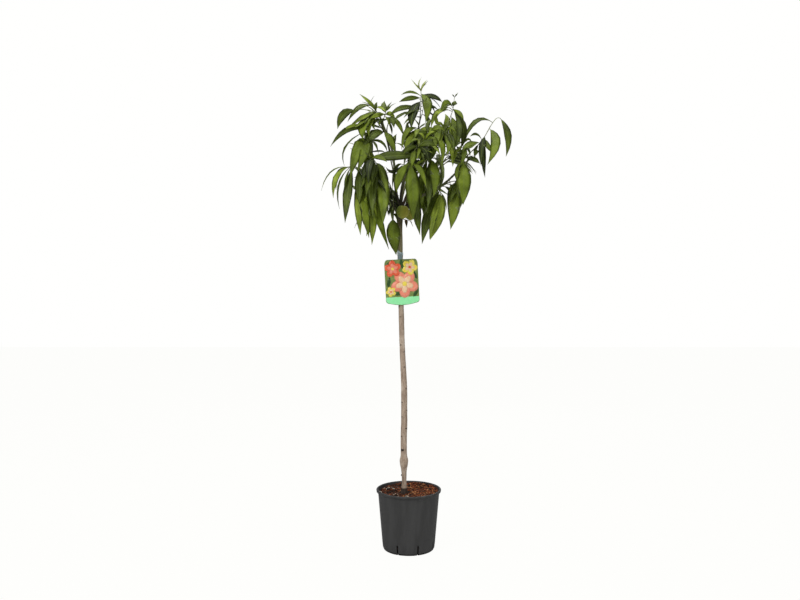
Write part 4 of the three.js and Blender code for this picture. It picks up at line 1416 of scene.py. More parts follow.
# The shoots that make the crown's outline, from the top down the left, then the middle and the right.
SHOOTS = (
    Shoot("foliage_top", "bough_leader", Mix.SHADED, 0.9, 4, 85 * MM, (
        (419.6, 121, 6), (420.5, 112, 5), (421, 100, 2), (421, 91, 0),
    ), (
        Tip((421, 91), (416.5, 85.5), (411.5, 79.5), -8, 1.3, 0.1),
        Tip((421, 91), (419, 84), (421.5, 77.5), 12, 1.2, 0.1),
        Tip((421, 93), (422.5, 86), (427, 80), -4, 1.8, 0.1),
        Tip((420.5, 96), (411, 92.3), (401, 95), -20, 3, 0.16),
        Tip((420.5, 98), (409.5, 98), (399, 102), -45, 4.4, 0.18),
        Tip((421, 95), (433.5, 97), (442, 102), -20, 4.2, 0.18),
        Tip((421, 93.5), (427, 103), (425.5, 123), -50, 8.4, 0.3),
        Tip((420.5, 101), (412.6, 111), (411.5, 129), -60, 8.6, 0.26),
        Tip((421, 104), (431, 106.5), (434.5, 113), 10, 2.2, 0.15),
        Tip((420.6, 109), (403, 108.5), (389.5, 116), -30, 5, 0.18),
        Tip((420.4, 111), (403, 114), (394.5, 121.5), -50, 3.8, 0.17),
    )),
    Shoot("foliage_top", "bough_leader", Mix.SHADOW, 0.93, 3, 75 * MM, (
        (420.5, 119, 0), (422, 114, -12), (423.5, 106, -18),
    ), (
        Tip((423.5, 107), (430, 113), (435, 116.5), -20, 2, 0.15),
        Tip((422, 114), (428, 120), (427, 131), -40, 4),
    )),
    Shoot("foliage_upper_left", "bough_upper_left", Mix.LEAFY, 0.93, 3, 80 * MM, (
        (381, 118, 12), (377, 112, 10), (371.5, 106, 6),
    ), (
        Tip((377, 112), (370, 103.3), (359.5, 94), -6, 3.8, 0.16),
        Tip((371.5, 106), (358.5, 107.5), (347.5, 122), -25, 4.6, 0.18),
        Tip((377, 110.5), (375.6, 106), (377.3, 102), -14, 3.2, 0.36),
        Tip((376, 112), (364, 117), (348, 128), -30, 5, 0.22),
        Tip((374, 112), (369.5, 118.5), (366, 129), -40, 6, 0.3),
        Tip((372, 113), (363, 122), (355, 127), -52, 4.5, 0.22),
        Tip((376, 112), (369, 124), (369, 136), -45, 5.5, 0.25),
        Tip((374, 113), (365, 124), (363, 139), -60, 9, 0.3),
    )),
    Shoot("foliage_upper_left", "bough_upper_left", Mix.SHADOW, 0.93, 0, 60 * MM, (
        (378, 115, -6), (368, 106.5, -24), (360, 106.5, -34), (355, 110, -38),
    ), (
        Tip((355, 110), (343.6, 115), (337.6, 129), -48, 7.2, 0.3),
    )),
    Shoot("foliage_upper_left", "bough_upper_left", Mix.LIGHT, 0.86, 3, 60 * MM, (
        (383, 122, 9), (385, 115, -2), (386, 111, -8),
    ), (
        Tip((385.5, 113), (383.6, 107), (384.5, 101), -20, 5.2, 0.4),
        Tip((386, 111), (388.5, 108.4), (391, 106), 0, 2.4, 0.4),
        Tip((385, 114), (377, 115), (370, 119), -30, 4.2),
        Tip((384, 119), (374, 124), (376, 130), -30, 2.6, 0.2),
        Tip((385, 115), (390, 114), (395.5, 119.5), -24, 4.2, 0.34),
        Tip((385, 116), (388.5, 120), (390, 127.5), -30, 3.6, 0.28),
        Tip((384, 118), (380, 121.5), (379.5, 127), -16, 2.6, 0.25),
        Tip((384.5, 115), (379.5, 113.5), (374, 115.5), -22, 3.2, 0.3),
    )),
    Shoot("foliage_upper_left", "bough_upper_left", Mix.SHADED, 0.72, 2, 60 * MM, (
        (387, 131, 9), (388, 124, -5), (388.5, 117, -14),
    ), (
        Tip((388.5, 116), (397.5, 122.5), (403.6, 136), -40, 4.4, 0.22),
        Tip((388.5, 117), (392, 120), (394, 128), -44, 5, 0.3),
        Tip((388.5, 119), (381, 120.5), (376, 121), -30, 3, 0.25),
        Tip((388, 121), (391, 127), (392, 135), -40, 2.4, 0.2),
    )),
    Shoot("foliage_left", "bough_upper_left", Mix.PLAIN, 0.6, 1, 60 * MM, (
        (387, 136, 8), (384.5, 132, -2),
    ), (
        Tip((384.5, 131), (374, 134.5), (361, 149), -50, 8.4, 0.3),
        Tip((384.5, 132), (376, 130.2), (369.5, 130.5), -20, 1.7, 0.12),
        Tip((383, 131), (390.4, 139), (396, 154), -36, 6.2, 0.27),
    )),
    Shoot("foliage_left", "bough_left", Mix.LEAFY, 0.94, 4, 105 * MM, (
        (368, 160, -10), (366, 146, -16), (364, 132, -22), (364, 127, -26),
    ), (
        Tip((364, 127), (352, 126), (341, 133), -30, 3.4, 0.15),
        Tip((364, 130), (347, 130.5), (330.5, 146.5), -30, 5, 0.16),
        Tip((364, 132), (345.5, 147), (344.5, 166), -10, 2.3, 0.1),
        Tip((366, 137), (357, 150), (350, 177), -80, 10),
        Tip((366.5, 137), (365, 150), (357, 172), -85, 9),
        Tip((367, 150), (369, 160), (363, 173), -70, 8.5),
        Tip((369, 148), (366, 153), (358, 163), -60, 5, 0.3),
        Tip((366, 142), (380.5, 141.5), (387.5, 153), -22, 3, 0.14),
        Tip((367, 153), (379, 151), (385, 152.5), -20, 2, 0.14),
    )),
    Shoot("foliage_left_low", "bough_left_low", Mix.LEAFY, 0.95, 5, 140 * MM, (
        (366, 176, -32), (361, 171, -40), (355, 167.5, -46), (349, 167, -50),
    ), (
        Tip((349, 168), (337, 177), (333.3, 198), -75, 5, 0.2),
        Tip((350, 168), (338.5, 185), (339.5, 209), -92, 2.2, 0.12),
        Tip((351, 168), (346, 178), (344.5, 189), -80, 2.2, 0.16),
        Tip((352, 169), (348.5, 193), (345, 223), -100, 8),
        Tip((359, 172), (357.5, 203), (360.5, 235), -100, 8),
        Tip((362, 174), (364.5, 205), (369, 238), -112, 8.5),
        Tip((361, 170), (372, 184), (376, 210), -118, 1.6, 0.08),
        Tip((365, 177), (371.5, 208), (371.8, 245), -98, 9),
        Tip((366, 178), (376, 212), (389, 249.5), -90, 6.5),
        Tip((357, 171), (360, 186), (359, 204), -88, 8),
    )),
    Shoot("foliage_left_tip", "bough_left_low", Mix.LIGHT, 0.99, 0, 90 * MM, (
        (358, 168, -42), (352, 166.5, -48), (347, 167, -52),
    ), (
        Tip((347, 167), (331, 172), (321.3, 190.5), -50, 1.7, 0.08),
        Tip((348, 168), (338, 174), (336, 190), -40, 4.5, 0.2),
    )),
    Shoot("foliage_front_left", "bough_left", Mix.SHADED, 0.6, 4, 125 * MM, (
        (379, 176, -20), (378, 168, -40), (375, 161, -58), (371, 158.5, -62),
    ), (
        Tip((377.5, 163), (384, 190), (382.5, 225), -112, 12, 0.2),
        Tip((377.3, 164), (372, 184), (373, 219), -120, 9),
        Tip((377, 161.5), (370, 174), (366, 197), -128, 8.5),
        Tip((377.5, 162), (383, 177), (388, 215), -70, 7),
        Tip((371, 158.5), (394, 156), (418, 156.5), -92, 8.6, 0.2),
        Tip((372, 158), (368.6, 167), (361, 181), -130, 9, 0.36),
        Tip((371, 157), (379, 157), (387, 162), -100, 5, 0.3),
    )),
    Shoot("foliage_front_left", "bough_leader", Mix.SHADOW, 0.42, 0, 90 * MM, (
        (408.5, 166, 4), (406, 165, -20), (403, 164.5, -36),
    ), (
        Tip((403, 164.5), (395.5, 169), (392.3, 190), -40, 3.2, 0.11),
        Tip((403, 164.5), (393, 171.5), (386, 167), -50, 3.6, 0.18),
        Tip((406, 165), (411, 160), (417, 158), -40, 2, 0.14),
    )),
    Shoot("foliage_centre_low", "bough_front", Mix.PLAIN, 0.96, 2, 120 * MM, (
        (411.5, 166, -72), (411, 164, -80), (410, 162, -86),
    ), (
        Tip((410, 162), (399.5, 176), (396.5, 192.5), -100, 7.5),
        Tip((411, 163), (412.6, 188), (413, 220), -112, 12.5, 0.23),
        Tip((411.5, 165), (414.6, 202), (420, 235), -96, 9.5),
    )),
    Shoot("foliage_centre_low", "bough_upper_right", Mix.PLAIN, 0.5, 3, 120 * MM, (
        (425, 160, 28), (428, 158, -10), (431, 158, -58),
    ), (
        Tip((430, 158), (434.8, 175), (433.5, 197), -100, 9, 0.24),
        Tip((430, 158), (430, 182), (427.5, 209), -98, 8.5),
        Tip((431, 157), (441.3, 168), (437.5, 198), -40, 4),
        Tip((428, 158), (421.4, 180), (420.6, 203), -70, 6),
    )),
    Shoot("foliage_centre_low", "bough_right", Mix.LEAFY, 0.42, 0, 110 * MM, (
        (438, 188, -6), (440, 190, -20), (440.5, 192, -34),
    ), (
        Tip((440.5, 192), (437, 214), (430, 240), -72, 11.5, 0.25),
        Tip((439.5, 190), (430.4, 214), (422, 244), -86, 9.5),
        Tip((440, 192), (434.6, 214), (429.5, 239), -90, 6, 0.2),
        Tip((440.5, 192), (444.5, 200), (446.5, 210), -12, 2, 0.1),
    )),
    Shoot("foliage_right_low", "bough_right", Mix.PLAIN, 0.58, 0, 90 * MM, (
        (449, 180, -7), (450, 183, -20),
    ), (
        Tip((450, 183), (453.5, 203), (450.5, 229.5), -52, 11.5),
    )),
    Shoot("foliage_right_low", "bough_right", Mix.PLAIN, 0.86, 0, 100 * MM, (
        (466, 163, -3), (464, 161, -18), (462, 161, -34),
    ), (
        Tip((463, 161), (463.4, 181), (463, 205), -66, 12.5),
        Tip((462, 161), (457, 171), (458, 184), -50, 4),
    )),
    Shoot("foliage_far_right", "bough_right", Mix.SHADED, 0.98, 0, 80 * MM, (
        (466, 158, -2), (470, 153, 0), (479, 144, 2), (485, 136, 4), (490, 127, 4),
        (494, 121, 2), (497, 118, 2), (500, 118, 0),
    ), (
        Tip((492, 122), (476, 121.2), (463.5, 143.5), -22, 4.4, 0.16),
        Tip((501, 118.5), (508, 135), (506, 156.5), -36, 6.4, 0.18),
        Tip((490, 129), (495.8, 143), (487.5, 164.5), -60, 8.2, 0.22),
        Tip((485, 136), (481.6, 147), (481, 166), -42, 5.4, 0.19),
        Tip((484, 137), (483, 157), (485, 177.5), -18, 4.4, 0.14),
        Tip((482, 140), (476.5, 134.4), (470, 136.5), -20, 3, 0.24),
        Tip((484, 138), (487.5, 145.5), (491.5, 152.5), -30, 5, 0.3),
        Tip((480, 143), (470.5, 143.5), (461.5, 150.5), -46, 5, 0.25),
        Tip((479, 144), (475.5, 150), (475, 159), -30, 3, 0.2),
        Tip((466, 158), (473, 159.5), (480, 163.5), -34, 5, 0.36),
        Tip((472, 150), (477, 151), (474, 157), -30, 3.4, 0.3),
    )),
    Shoot("foliage_right_low", "bough_right", Mix.LEAFY, 0.9, 0, 60 * MM, (
        (468, 157, -8), (465, 150, -16), (463, 145, -20),
    ), (
        Tip((463, 146), (464, 154), (461, 165), -50, 5, 0.28),
        Tip((464, 147), (456, 152), (453.4, 165), -40, 3.8, 0.2),
        Tip((464, 149), (469, 150), (470, 157), -30, 2.4, 0.2),
        Tip((463, 145), (468, 139), (472, 143), -30, 2.2, 0.2),
    )),
    Shoot("foliage_upper_right", "bough_upper_right", Mix.LEAFY, 0.97, 2, 90 * MM, (
        (446.5, 127, 18), (450, 118, 12), (453, 109, 6), (454.5, 97, 2),
    ), (
        Tip((454.5, 97), (453.3, 95.5), (452, 94.3), 0, 1.4, 0.3),
        Tip((454.5, 97), (456.3, 95), (458, 92.6), -4, 1.4, 0.3),
        Tip((453.5, 106), (454.6, 103.6), (455.6, 100.8), -16, 4.4, 0.55),
        Tip((453, 108), (446.2, 102.4), (440.5, 111.5), -20, 4.6, 0.2),
        Tip((453, 109), (459.3, 113.5), (463.7, 119.5), -20, 4, 0.22),
        Tip((453, 109.5), (459.5, 129), (453.3, 150), -55, 5, 0.16),
        Tip((453, 109), (463, 129), (460.5, 149), -10, 6.5, 0.18),
        Tip((451, 116), (456, 131), (454, 149), -40, 7.5),
        Tip((450, 118), (450, 143), (452.8, 167), -66, 4.6, 0.15),
        Tip((452, 111), (438.5, 112), (431, 128), -40, 5, 0.2),
        Tip((449, 121), (444, 136), (444, 151), -62, 7),
        Tip((452, 110), (447, 107.5), (444, 112), -20, 2.6, 0.3),
    )),
    Shoot("foliage_centre", "bough_leader", Mix.LEAFY, 0.74, 7, 85 * MM, (
        (415, 142, 5), (416, 134, -20), (419, 128.5, -34),
    ), (
        Tip((419, 128.5), (406.5, 131.5), (401.7, 150), -62, 5, 0.2),
        Tip((419, 129), (411, 138), (405, 150), -66, 6.5, 0.24),
        Tip((417, 131), (431, 141), (432, 156), -75, 7),
        Tip((418, 130), (430, 130), (441, 139), -60, 5),
        Tip((417, 133), (421, 142), (419, 158), -80, 7),
    )),
    Shoot("foliage_centre", "bough_upper_right", Mix.PLAIN, 0.62, 7, 85 * MM, (
        (430, 151, 28), (429, 141, -15), (430, 134, -48),
    ), (
        Tip((430, 134), (441, 143), (441.5, 166), -90, 5.5),
        Tip((430, 136), (422, 146), (420, 160), -95, 8),
        Tip((430, 134), (437, 128), (445, 131), -70, 5),
        Tip((430, 134), (420, 133), (412, 140), -80, 5),
        Tip((430, 137), (433, 149), (428, 163), -98, 7),
        Tip((430, 134), (428, 125), (434, 119), -60, 4),
    )),
    Shoot("foliage_centre", "bough_upper_right", Mix.PLAIN, 0.8, 5, 80 * MM, (
        (438, 139, 26), (441, 134, -10), (442, 128, -40),
    ), (
        Tip((442, 128), (436, 138), (434, 151), -85, 7),
        Tip((442, 130), (448, 141), (447, 155), -80, 6),
        Tip((442, 128), (447, 121), (445, 114), -40, 4.6),
        Tip((442, 128), (436, 120), (438, 113), -50, 4),
    )),
    Shoot("foliage_centre", "bough_front", Mix.SHADED, 0.8, 3, 80 * MM, (
        (410, 160, -60), (413, 152, -74), (418, 147, -80),
    ), (
        Tip((418, 147), (426, 151), (428, 162), -100, 7),
        Tip((418, 147), (409, 148), (403, 155), -95, 5),
        Tip((418, 147), (427, 143), (436, 146), -100, 6),
        Tip((416, 150), (413, 157), (412, 168), -100, 5),
    )),
    Shoot("foliage_centre", "bough_upper_right", Mix.LEAFY, 0.62, 0, 60 * MM, (
        (427, 150, 20), (424, 146, -30), (424, 143, -70),
    ), (
        Tip((424, 143), (416, 139), (409, 144), -106, 3, 0.2),
        Tip((424, 143), (431, 138), (437, 141), -104, 3, 0.2),
        Tip((424, 144), (427, 150), (433, 153), -112, 3.4, 0.24),
        Tip((424, 144), (419, 151), (417, 160), -112, 3.4, 0.2),
        Tip((424, 143), (423, 136), (418, 133), -96, 3, 0.24),
        Tip((424, 144), (434, 147), (440, 155), -108, 3.6, 0.2),
        Tip((424, 144), (422, 152), (425, 161), -112, 3, 0.18),
        Tip((424, 143), (429, 134), (435, 132), -96, 3, 0.2),
    )),
    Shoot("foliage_centre", "bough_upper_right", Mix.LEAFY, 0.8, 0, 60 * MM, (
        (441, 139, 20), (444, 134, -20), (445, 131, -44),
    ), (
        Tip((445, 131), (441, 124), (436, 124), -70, 3, 0.24),
        Tip((445, 131), (451, 128), (456, 133), -66, 3.4, 0.24),
        Tip((445, 131), (448, 124), (449, 118), -60, 3.4, 0.26),
        Tip((445, 132), (452, 140), (453, 151), -74, 5, 0.22),
        Tip((445, 132), (440, 140), (439, 150), -84, 3, 0.18),
    )),
    Shoot("foliage_centre", "bough_upper_left", Mix.LIGHT, 0.5, 0, 45 * MM, (
        (394, 150, 8), (395.5, 143, -10),
    ), (
        Tip((395.5, 143), (394.3, 139), (396.6, 134), -20, 3.8, 0.4),
        Tip((395.5, 143), (401, 145), (404.5, 149.5), -20, 1.6, 0.15),
    )),
    Shoot("foliage_stem_drop", "spur_front", Mix.PLAIN, 0.9, 0, 60 * MM, (
        (393, 215, -38), (393, 218, -42),
    ), (
        Tip((393, 218), (393.8, 234), (396.2, 255), -46, 11.8, 0.3),
        Tip((393, 216), (395.5, 215), (398, 223), -40, 2.4, 0.2),
        Tip((393, 216), (391, 210), (388, 208), -40, 2, 0.2),
    )),
    Shoot("foliage_stem_drop", "spur_front", Mix.SHADOW, 0.55, 0, 60 * MM, (
        (393.5, 205, -30), (393, 196, -30), (392.3, 188, -34),
    ), (
        Tip((393, 195), (395, 199), (399, 206), -34, 2.4, 0.2),
        Tip((392.5, 190), (391, 197), (392, 207), -34, 2, 0.16),
        Tip((393.5, 204), (390, 210), (389, 216), -40, 2.6, 0.25),
        Tip((393.4, 203), (397, 208), (397, 218), -36, 2.4, 0.2),
    )),
)

SPRAYS = (
    Spray("foliage_back_left", "bough_back_left", 7, 9, 116 * MM, 14 * MM, 32 * MM, lift=74.0),
    Spray("foliage_back_right", "bough_back_right", 7, 9, 116 * MM, 14 * MM, 32 * MM, lift=74.0),
    Spray("foliage_back_top", "bough_back_top", 7, 8, 92 * MM, 14 * MM, 32 * MM, lift=60.0),
    Spray("foliage_back_side", "bough_back_side", 6, 8, 95 * MM, 14 * MM, 20 * MM, lift=60.0),
    Spray("foliage_left_low", "bough_left_low", 2, 7, 120 * MM),
    Spray("foliage_right_low", "bough_right", 2, 5, 105 * MM),
    Spray("foliage_left", "bough_left", 4, 2, 82 * MM, 10 * MM, 0.0, (30.0, 150.0)),
    Spray("foliage_upper_left", "bough_upper_left", 5, 2, 66 * MM, 8 * MM, 0.0, (30.0, 150.0)),
    Spray("foliage_upper_right", "bough_upper_right", 2, 2, 66 * MM, 8 * MM, 0.0, (30.0, 150.0)),
    Spray("foliage_centre", "bough_leader", 4, 2, 80 * MM, 16 * MM, 0.0, (30.0, 150.0)),
)

WINDOWS = (
    Window(-49, -24, 1165, 1312),
    Window(-75, -40, 1165, 1240),
    Window(-93, -63, 1113, 1143),
    Window(-60, -31, 1048, 1128),
    Window(180, 210, 1210, 1255),
    Window(92, 136, 1062, 1122),
    Window(165, 195, 1122, 1167),
    Window(162, 209, 970, 1043),
    Window(-155, -140, 1087, 1102),
    Window(45, 54, 1066, 1108),
    Window(65, 83, 1113, 1143),
    Window(-78, -55, 888, 967),
    Window(128, 150, 1236, 1280),
    Window(-184, -170, 1137, 1187),
    Window(95, 119, 1122, 1168),
    Window(-225, -199, 1122, 1172),
    Window(-169, -158, 955, 1049),
    Window(97, 116, 900, 1035),
    Window(154, 180, 900, 1005),
    Window(-200, -150, 1235, 1275),
)


@dataclass
class Crown:
    """All that grows on the boughs: shoots, and on each shoot its leaves."""

    boughs: Boughs
    sight: Sight = field(default_factory=Sight)
    blade: Blade = field(default_factory=Blade)
    belly: float = 8 * MM  # how far a leaf's middle comes forward of its ends
    broad: float = 1.2  # what a folded leaf's width is raised by to look as wide as it should
    slender: float = 1.05  # the same for one that looks no wider than thin
    thin: float = 4.0  # steps of the view
    steepest: float = 86.0  # degrees that a leaf may be rolled by
    twig_rows: int = 22
    twig_columns: int = 8
    twig_base: float = 2.3 * MM
    twig_tip: float = 0.7 * MM
    seed: int = 77
    tone_seed: int = 7
    young_rise: float = 8.5  # a leaf whose tip is this many steps above its stalk is young
    slim: float = 3.0  # one that looks no wider than this is edge-on, and gets the darkest tone as painted shade
    tries: int = 14  # how often a further leaf is turned to find it room
    try_turn: float = 0.8  # by this many radians
    limb_from: float = 0.3  # where a spray's shoots start, as shares of its limb
    limb_span: float = 0.68
    joint_from: float = 0.12  # where further leaves start, as shares of their shoot
    joint_span: float = 0.86
    crown_from: float = 0.64  # where the crown starts, as a share of the plant's height
    clear: float = 24 * MM  # how far tips stay from the upright through the stem's head
    # sets of leaf greens that paint light and shade on each shoot's further leaves
    tone_sets: tuple[tuple[Tone, ...], ...] = (  # one is drawn for each shoot's further leaves
        (Tone.FRESH, Tone.MID, Tone.MID, Tone.DARK),
        (Tone.MID, Tone.DARK, Tone.DARK, Tone.SHADOW),
        (Tone.FRESH, Tone.FRESH, Tone.MID, Tone.MID),
        (Tone.DARK, Tone.SHADOW, Tone.DARK, Tone.MID),
    )

    def build(self) -> list[bpy.types.Object]:
        """Grows every mass's leaves, then the shoots that carry them."""
        twigs = Pile()
        finishes = Tone.materials()
        made = []
        deal = np.random.default_rng(self.tone_seed)
        masses = list(dict.fromkeys([shoot.mass for shoot in SHOOTS] + [spray.mass for spray in SPRAYS]))
        for number, mass in enumerate(masses):
            rng = np.random.default_rng(self.seed + number)
            leaves = []
            grown = [shoot for spray in SPRAYS if spray.mass == mass for shoot in self.grown(spray, rng)]
            for shoot in [s for s in SHOOTS if s.mass == mass] + grown:
                path = self.path(shoot)
                self.add_twig(twigs, path, self.boughs.spines[shoot.limb].radius(shoot.share))
                leaves += self.outline_leaves(shoot, path, rng, deal)
                leaves += self.further_leaves(shoot, path, rng)
                leaves += self.young_leaves(shoot, path, rng)
            pile = Pile()
            self.blade.add(pile, leaves)
            LOG.info("%s: %d leaves", mass, len(leaves))
            made.append(pile.piece(mass.replace("foliage", "leaves"), finishes, [mass]))
        made.append(twigs.piece("twigs", [ShootSkin("twig_skin", tint(104, 104, 70)).material()]))
        return made

    def grown(self, spray: Spray, rng: Rng) -> list[Shoot]:
        """Shoots of a spray: each leaves the limb and bends up towards its own part of the mass."""
        low, high = (np.array(corner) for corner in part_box(spray.mass))
        middle, half = (low + high) / 2, (high - low) / 2
        spine = self.boughs.spines[spray.limb]
        shoots = []
        for k in range(spray.shoots):
            share = self.limb_from + self.limb_span * (k + 0.5) / spray.shoots
            first, last = np.radians(spray.span)
            bearing = first + (k * DIVERGENCE + rng.uniform(0, 1)) % (last - first)
            pitch = np.radians(rng.uniform(-25, 60))
            toward = heading(bearing) * np.cos(pitch) + UP * np.sin(pitch)
            aim = middle + half * toward * 0.62
            start = spine.at(share)
            rise = UP * 0.12 * np.linalg.norm(aim - start)
            bend = (start + aim) / 2 + rise + spine.ahead(share) * 8 * MM
            way = tuple((*self.sight.seen(place), place[1] / MM) for place in (bend, aim))
            growth = (share, spray.more, spray.leaf, way, (), spray.margin, spray.inward, spray.lift)
            shoots.append(Shoot(spray.mass, spray.limb, Mix.PLAIN, *growth))
        return shoots

    def path(self, shoot: Shoot) -> Array:
        """The shoot's centre line, from the middle of its limb through its way points."""
        start = self.boughs.spines[shoot.limb].at(shoot.share)
        way = [self.sight.place(across, down, depth * MM) for across, down, depth in shoot.way]
        return curve([start, *way], self.twig_rows)

    def add_twig(self, twigs: Pile, path: Array, limb_radius: float) -> None:
        """A thin tapering tube, a little thicker at even steps along it."""
        share = np.linspace(0, 1, len(path))[:, None]
        thick = min(self.twig_base, 0.8 * limb_radius)
        radius = thick + (self.twig_tip - thick) * share**0.8
        radius = radius * (1 + 0.12 * np.cos(share * 2 * np.pi * 5)) * np.ones((1, self.twig_columns))
        mark = ease(share * 1.4) * np.ones((1, self.twig_columns))
        ahead = path[-1] - path[0]
        square = np.cross(ahead, UP) if np.linalg.norm(ahead[:2]) > 5 * MM else RIGHT
        twigs.tube(rings_along(path, radius, unit(square)), mark=mark)

    @staticmethod
    def on(path: Array, share: float) -> tuple[Array, Array]:
        """The place and the direction of growth at a share of a path's length."""
        reach = np.concatenate([[0], np.cumsum(np.linalg.norm(np.diff(path, axis=0), axis=1))])
        here = np.array([np.interp(share * reach[-1], reach, path[:, k]) for k in range(3)])
        leg = min(int(np.searchsorted(reach, share * reach[-1])), len(path) - 1)
        return here, unit(path[max(leg, 1)] - path[max(leg, 1) - 1])

    @staticmethod
    def set_off(along: Array, chord: Array) -> Array:
        """The direction that a stalk starts in: between the shoot's, level, up and straight at the tip."""
        level = unit(chord * [1, 1, 0] + FRONT * 1e-4)
        return unit(0.2 * along + 0.5 * level + 0.5 * unit(chord) + 0.16 * UP)

    @staticmethod
    def habit(rng: Rng) -> dict[str, float]:
        """What differs from leaf to leaf: how it folds, waves and bends to one side."""
        ranges = {"fold": (0.14, 0.42), "wave": (0.03, 0.12), "phase": (0, 2 * np.pi)}
        ranges["sickle"] = (-0.022, 0.022)
        return {name: rng.uniform(*ends) for name, ends in ranges.items()}

    def outline_leaves(self, shoot: Shoot, path: Array, rng: Rng, deal: Rng) -> list[Leaf]:
        """The shoot's own leaves, placed as listed and dealt tones from the shoot's mix."""
        fine = curve(path, 10 * len(path))
        seen = self.sight.seen(fine)
        leaves = []
        for tip, tone in zip(shoot.tips, shoot.mix.deal(len(shoot.tips), deal)):
            if tip.base[1] - tip.tip[1] > self.young_rise:
                tone = Tone.PALE if tip.shown < self.slim else Tone.FRESH
            # an edge-on leaf gets its mix's darkest tone as painted shade
            elif tip.shown < self.slim:
                tone = shoot.mix.value[-1]
            base = fine[np.linalg.norm(seen - tip.base, axis=1).argmin()]
            end = self.sight.place(*tip.tip, tip.depth * MM)
            middle = self.sight.place(*tip.middle, (base[1] + end[1]) / 2 - self.belly)
            bend = 2 * middle - (base + end) / 2
            turn, width = self.rolled(base, bend, end, tip)
            leaves.append(Leaf(base, bend, end, turn, width, tone, **self.habit(rng)))
        return leaves

    def rolled(self, base: Array, bend: Array, end: Array, tip: Tip) -> tuple[float, float]:
        """Rolls a leaf just far enough to look as wide as it should, or narrows one that needs no roll.

        Args:
            base, bend, end: the leaf's rib.
            tip: what it should look like.

        Returns:
            The roll in degrees, and the width as a share of the length.
        """
        turns = np.arange(self.steepest)
        s = np.array(self.blade.shares)[None, :, None]
        rib = (1 - s) ** 2 * base + 2 * (1 - s) * s * bend + s**2 * end
        ribs = np.repeat(rib, len(turns), axis=0)
        side, _, ahead = self.blade.axes(ribs, (end - base)[None, None], turns[:, None, None])
        widest = self.blade.outline(s[0, :, 0]).argmax()
        along = unit(ahead[:, widest] * [1, 0, 1])
        shows = np.abs(side[:, widest, 0] * along[:, 2] - side[:, widest, 2] * along[:, 0])
        length = np.linalg.norm(end - base)
        raised = self.broad if tip.shown > self.thin else self.slender
        want = tip.shown * raised * self.sight.step((base + end)[1] / 2)
        enough = shows * tip.width * length >= want
        pick = int(enough.argmax() if enough.any() else shows.argmax())
        width = tip.width if enough.any() and pick > 0 else want / (length * shows[pick])
        return float(turns[pick]), float(width)

    def further_leaves(self, shoot: Shoot, path: Array, rng: Rng) -> list[Leaf]:
        """Leaves by rule: one after another round the shoot, hanging more steeply the lower they grow."""
        low, high = (np.array(corner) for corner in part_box(shoot.mass))
        low = low - shoot.margin + FRONT * shoot.inward
        high = high + shoot.margin
        crown_low, crown_high = CAD_BOX[0].z + self.crown_from * CAD_BOX[1].z, CAD_BOX[1].z
        outward = unit((path[-1] - self.boughs.head) * [1, 1, 0])
        tones = self.tone_sets[rng.integers(len(self.tone_sets))]
        first = rng.uniform(0, 2 * np.pi)
        leaves = []
        for k in range(shoot.more):
            base, along = self.on(path, self.joint_from + self.joint_span * (k + 0.5) / shoot.more)
            height = np.clip((base[2] - crown_low) / (crown_high - crown_low), 0, 1)
            for attempt in range(self.tries):
                level = unit(heading(first + k * DIVERGENCE + attempt * self.try_turn) + 0.3 * outward)
                pitch = np.radians(rng.uniform(8 - shoot.lift, 30) + 62 * (1 - height) ** 1.2)
                length = shoot.leaf * rng.uniform(0.8, 1.1) * (1 - 0.02 * attempt)
                chord = length * (level * np.cos(pitch) - UP * np.sin(pitch))
                if self.fits(base, base + chord, low, high):
                    bend = base + rng.uniform(0.42, 0.6) * length * self.set_off(along, chord)
                    width = rng.uniform(0.19, 0.25)
                    tone = tones[rng.integers(len(tones))]
                    roll = rng.uniform(-25, 40)
                    leaves.append(Leaf(base, bend, base + chord, roll, width, tone, **self.habit(rng)))
                    break
        return leaves

    def young_leaves(self, shoot: Shoot, path: Array, rng: Rng) -> list[Leaf]:
        """Three small pale leaves that stand up at the end of a rising shoot."""
        base, along = self.on(path, 1.0)
        if along[2] < 0.25 or shoot.more < 3:
            return []
        leaves = []
        for k in range(3):
            level = heading(rng.uniform(0, 1) + k * DIVERGENCE)
            tip = base + rng.uniform(24, 40) * MM * unit(0.8 * level + 0.9 * along)
            bend = base + 14 * MM * unit(along + 0.4 * level)
            tone = Tone.PALE if k < 2 else Tone.FRESH
            leaves.append(Leaf(base, bend, tip, 0.0, 0.17, tone, **(self.habit(rng) | {"fold": 0.7})))
        return leaves

    def fits(self, base: Array, tip: Array, low: Array, high: Array) -> bool:
        """Whether a leaf stays by its mass's box and clear of the crown's windows."""
        off = np.hypot(*(tip - self.boughs.head)[:2])
        if np.any(tip < low) or np.any(tip > high) or off < self.clear:
            return False
        places = base + np.linspace(0.25, 1, 7)[:, None] * (tip - base)
        eye = np.array(self.sight.eye)
        seen = eye + (places - eye) * (-eye[1] / (places[:, 1:2] - eye[1]))
        x, z = seen[:, 0] / MM, seen[:, 2] / MM
        return not any(np.any((x > w.left) & (x < w.right) & (z > w.low) & (z < w.high)) for w in WINDOWS)


# ---------- Fruit ----------


